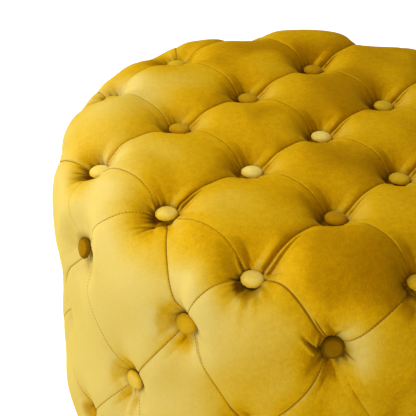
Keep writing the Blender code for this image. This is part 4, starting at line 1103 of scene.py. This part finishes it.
def button_mesh(key, points, faces, painted_tones):
    """Domed button, drawn in under its rim with small gathers, on its twine."""
    centre, n, e1, e2, phase, size = BUTTON_FRAMES[key]
    centre = centre + BUTTON_LIFT.get(key, 0) * MM * n
    if key[0] == "top":
        tie = centre - n * ((centre[2] - DECK_BOTTOM + TWINE_END) / n[2])
        spin = n
        # The heads of the rim buttons sit more level than the cover below them
        face = unit(between(n, UP, TOP_LEVEL))
    else:
        tie = around(LACING_RADIUS, BUTTONS[key][1], TOP_HEIGHT - DROPS[key[0]])
        spin = unit(centre - tie)
        e2 = np.cross(spin, e1)
        face = unit(spin + UP * UPPER_LEVEL) if key[0] == "upper" else spin
    f1 = unit(e1 - face * (e1 @ face))
    f2 = np.cross(face, f1)
    reach = np.linalg.norm(centre - tie) / MM
    knot = KNOT if key[0] == "top" else KNOT[:1]
    rings = (*DOME[1:], *((radius, height - reach) for radius, height in knot))
    nap = BUTTON_PAINTED_TONES.get(key, PLAIN_PAINTED_TONE)
    start = len(points)
    points.append(centre + face * DOME[0][1] * MM)
    painted_tones.append(nap)
    turns = turns_of(BUTTON_SIDES)
    gathers = sum(s * np.cos(c * turns + p) for s, c, p in zip(size, (9, 13, 17, 21), phase))
    wobble = 0.25 * np.cos(turns + phase[0]) + 0.15 * np.cos(2 * turns + phase[1])
    for ring, (radius, height) in enumerate(rings, 1):
        above = height > 0
        axis, x_way, y_way = (face, f1, f2) if above else (spin, e1, e2)
        out = radius + above * 0.16 * climb(radius, 6, 5.5) * gathers
        up = height + above * wobble * radius / 11.6
        for turn, r, h in zip(turns, out * MM, up * MM):
            points.append(centre + axis * h + r * (math.cos(turn) * x_way + math.sin(turn) * y_way))
        # Painted shade: the rim is darker, much darker on buttons painted as shaded, and the cover fades to the
        # darkest where the twine begins
        tone = 1 if ring < 4 else (0.92 if ring == 4 else 0.8) * (1 if nap > 0.3 else 0.2)
        painted_tones += [above * nap * tone] * BUTTON_SIDES
    points.append(centre - spin * (reach + (3 if key[0] == "top" else 0.6)) * MM)
    painted_tones.append(0)
    faces += fan(start, start + 1, BUTTON_SIDES, flip=True) + band(start + 1, len(rings), BUTTON_SIDES, flip=True)
    faces += fan(len(points) - 1, len(points) - 1 - BUTTON_SIDES, BUTTON_SIDES)


def button_piece(name, keys, node, row=None):
    """Buttons as one piece; a side row also has the cord that laces its twines inside the drum."""
    points, faces, painted_tones = [], [], []
    for key in keys:
        button_mesh(key, points, faces, painted_tones)
    if row:
        faces += band(len(points), CORD_STEPS, CORD_SIDES, closed=True, flip=True)
        turn, tilt = turns_of(CORD_STEPS)[:, None], turns_of(CORD_SIDES)
        height = TOP_HEIGHT - DROPS[row] + CORD_RADIUS * np.sin(tilt)
        points += [*around(LACING_RADIUS + CORD_RADIUS * np.cos(tilt), turn, height).reshape(-1, 3)]
        painted_tones += [0] * (CORD_STEPS * CORD_SIDES)
    item = new_piece(new_mesh(name, points, faces), BUTTON_VELVET, "velvet_button", node)
    item.data.materials.append(TWINE)
    item.data.attributes.new("nap", "FLOAT", "POINT").data.foreach_set("value", painted_tones)
    for face in item.data.polygons:
        if all(painted_tones[corner] == 0 for corner in face.vertices):
            face.material_index = 1


top_keys = sorted((key for key in BUTTONS if key[0] == "top"), key=lambda key: (key[2], key[1]))
for count, key in enumerate(top_keys, 1):
    button_piece(f"covered_top_button_{count:02d}", [key], f"top_button_{count:02d}")
for row in DROPS:
    keys = [(row, number) for number in range(COLUMNS)]
    button_piece("covered_side_buttons_" + row, keys, "side_buttons_" + row, row)

# Glides: radius and height round their outline in mm
GLIDE_PROFILE = ((5, 0), (5, 8), (2.3, 8), (2.3, 14), (14.3, 14), (14.9, 13.6), (15, 12.8),
                 (12.9, 2.2), (12.4, 1), (11.5, 0.3), (10.4, 0), (6.2, 0))
GLIDE_STEPS = 48
for number in range(1, 7):
    low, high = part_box(f"glide_{number}")
    radius, height = np.array(GLIDE_PROFILE).T * MM
    points = around(radius, turns_of(GLIDE_STEPS)[:, None], height).reshape(-1, 3)
    points = points + ((low[0] + high[0]) / 2, (low[1] + high[1]) / 2, low[2])
    faces = band(0, GLIDE_STEPS, len(GLIDE_PROFILE), closed=True)
    new_piece(new_mesh(f"moulded_glide_{number}", points, faces), GLIDE, "glide_plastic", f"glide_{number}", sharp=40)

# Staples that hold the dust cover: place along the crown and height in mm, then the corners of the wire
STAPLES = 36
STAPLE_CIRCLE, STAPLE_HEIGHT = 213 * MM, 12.25 * MM
STAPLE_LINE = ((-5.3, 0.9), (-5.3, -0.1), (-4.9, -0.3), (4.9, -0.3), (5.3, -0.1), (5.3, 0.9))
WIRE = ((-0.5, -0.22), (0.5, -0.22), (0.5, 0.22), (-0.5, 0.22))
points, faces = [], []
for number in range(STAPLES):
    turn = CIRCLE * (number + 0.35) / STAPLES
    out = np.array((math.cos(turn), math.sin(turn), 0))
    tilt = 0.12 * math.sin(number * 2.3)
    way = np.cross(UP, out) * math.cos(tilt) + out * math.sin(tilt)
    side_way = np.cross(way, UP)
    centre = out * STAPLE_CIRCLE + UP * STAPLE_HEIGHT
    start = len(points)
    for place, height in STAPLE_LINE:
        for dx, dy in WIRE:
            shift = place + (dy if abs(place) > 5 else 0)
            points.append(centre + (way * shift + side_way * dx + UP * (height + dy)) * MM)
    end = len(points) - 4
    faces += band(start, len(STAPLE_LINE), len(WIRE))
    faces += [(start + 3, start + 2, start + 1, start), (end, end + 1, end + 2, end + 3)]
new_piece(new_mesh("dust_cover_staples", points, faces), STAPLE, "zinc", smooth=False)

# Camera
data = bpy.data.cameras.new("photo_camera")
data.sensor_fit = "HORIZONTAL"
data.sensor_width = SENSOR_WIDTH
data.lens = CAMERA_LENS * SENSOR_WIDTH / PICTURE_WIDTH
data.clip_start = 0.05
data.clip_end = 50
camera = in_scene("photo_camera", data)
camera.matrix_world = Matrix([*zip(CAM_RIGHT, CAM_UP, CAM_BACK, CAM_PLACE), (0, 0, 0, 1)])
bpy.context.scene.camera = camera


# Floor, lights and world
def bright_floor():
    """Pale floor that also glows where the camera sees it, so that it fades into the white round it."""
    material, tree, shader = new_material("pale_floor")
    feed(shader, {"Base Color": (0.86, 0.86, 0.86), "Roughness": 0.9})
    path = add_node(tree, "LightPath")
    seen = path.outputs["Is Camera Ray"]
    for ray in ("Is Glossy Ray", "Is Transmission Ray"):
        seen = calculate("MAXIMUM", seen, path.outputs[ray])
    dark, glow = (add_node(tree, "Emission", {"Strength": strength}).outputs[0] for strength in (0, 0.8))
    choose = add_node(tree, "MixShader", {0: seen, 1: dark, 2: glow})
    both = add_node(tree, "AddShader", {0: shader.outputs[0], 1: choose.outputs[0]})
    feed(tree.nodes["Material Output"], {"Surface": both.outputs[0]})
    return material


FLOOR_REACH = 9
corners = [(x * FLOOR_REACH, y * FLOOR_REACH, 0) for x, y in ((-1, -1), (1, -1), (1, 1), (-1, 1))]
mesh = new_mesh("studio_floor", corners, [(0, 1, 2, 3)])
mesh.materials.append(bright_floor())
in_scene("studio_floor", mesh)

# Soft round lamps: place, what they point at, width, power
SEAT_MIDDLE = (-0.05, -0.05, 0.33)
for name, place, target, size, power in (
        ("key_light", (-1.6, 0, 0.4), SEAT_MIDDLE, 0.8, 6.2),
        ("back_light", (-0.9, 0.7, 1.1), SEAT_MIDDLE, 0.7, 7.5),
        ("high_light", (-0.5, -0.25, 1.05), SEAT_MIDDLE, 0.4, 2.9),
        ("right_light", (1.4, 0.9, 0.35), (0, 0, 0.2), 1, 9),
        ("side_light", (-1, -1.1, 0.7), SEAT_MIDDLE, 0.6, 2.6),
        ("fill_light", (-0.1, -2, 0.8), SEAT_MIDDLE, 1.2, 12)):
    lamp = bpy.data.lights.new(name, "AREA")
    lamp.shape = "DISK"
    lamp.size = size
    lamp.energy = power
    item = in_scene(name, lamp)
    item.location = place
    item.rotation_euler = (Vector(place) - Vector(target)).to_track_quat("Z", "Y").to_euler()

world = bpy.data.worlds.new("studio")
bpy.context.scene.world = world
world.use_nodes = True
tree = world.node_tree
tree.nodes.clear()
ambient, white = (add_node(tree, "Background", {"Strength": strength, "Color": (1, 1, 1)}).outputs[0]
                  for strength in (0.3, 1))
seen = add_node(tree, "LightPath").outputs["Is Camera Ray"]
choose = add_node(tree, "MixShader", {0: seen, 1: ambient, 2: white})
add_node(tree, "OutputWorld", {"Surface": choose.outputs[0]})

bpy.context.scene.view_settings.view_transform = "Standard"
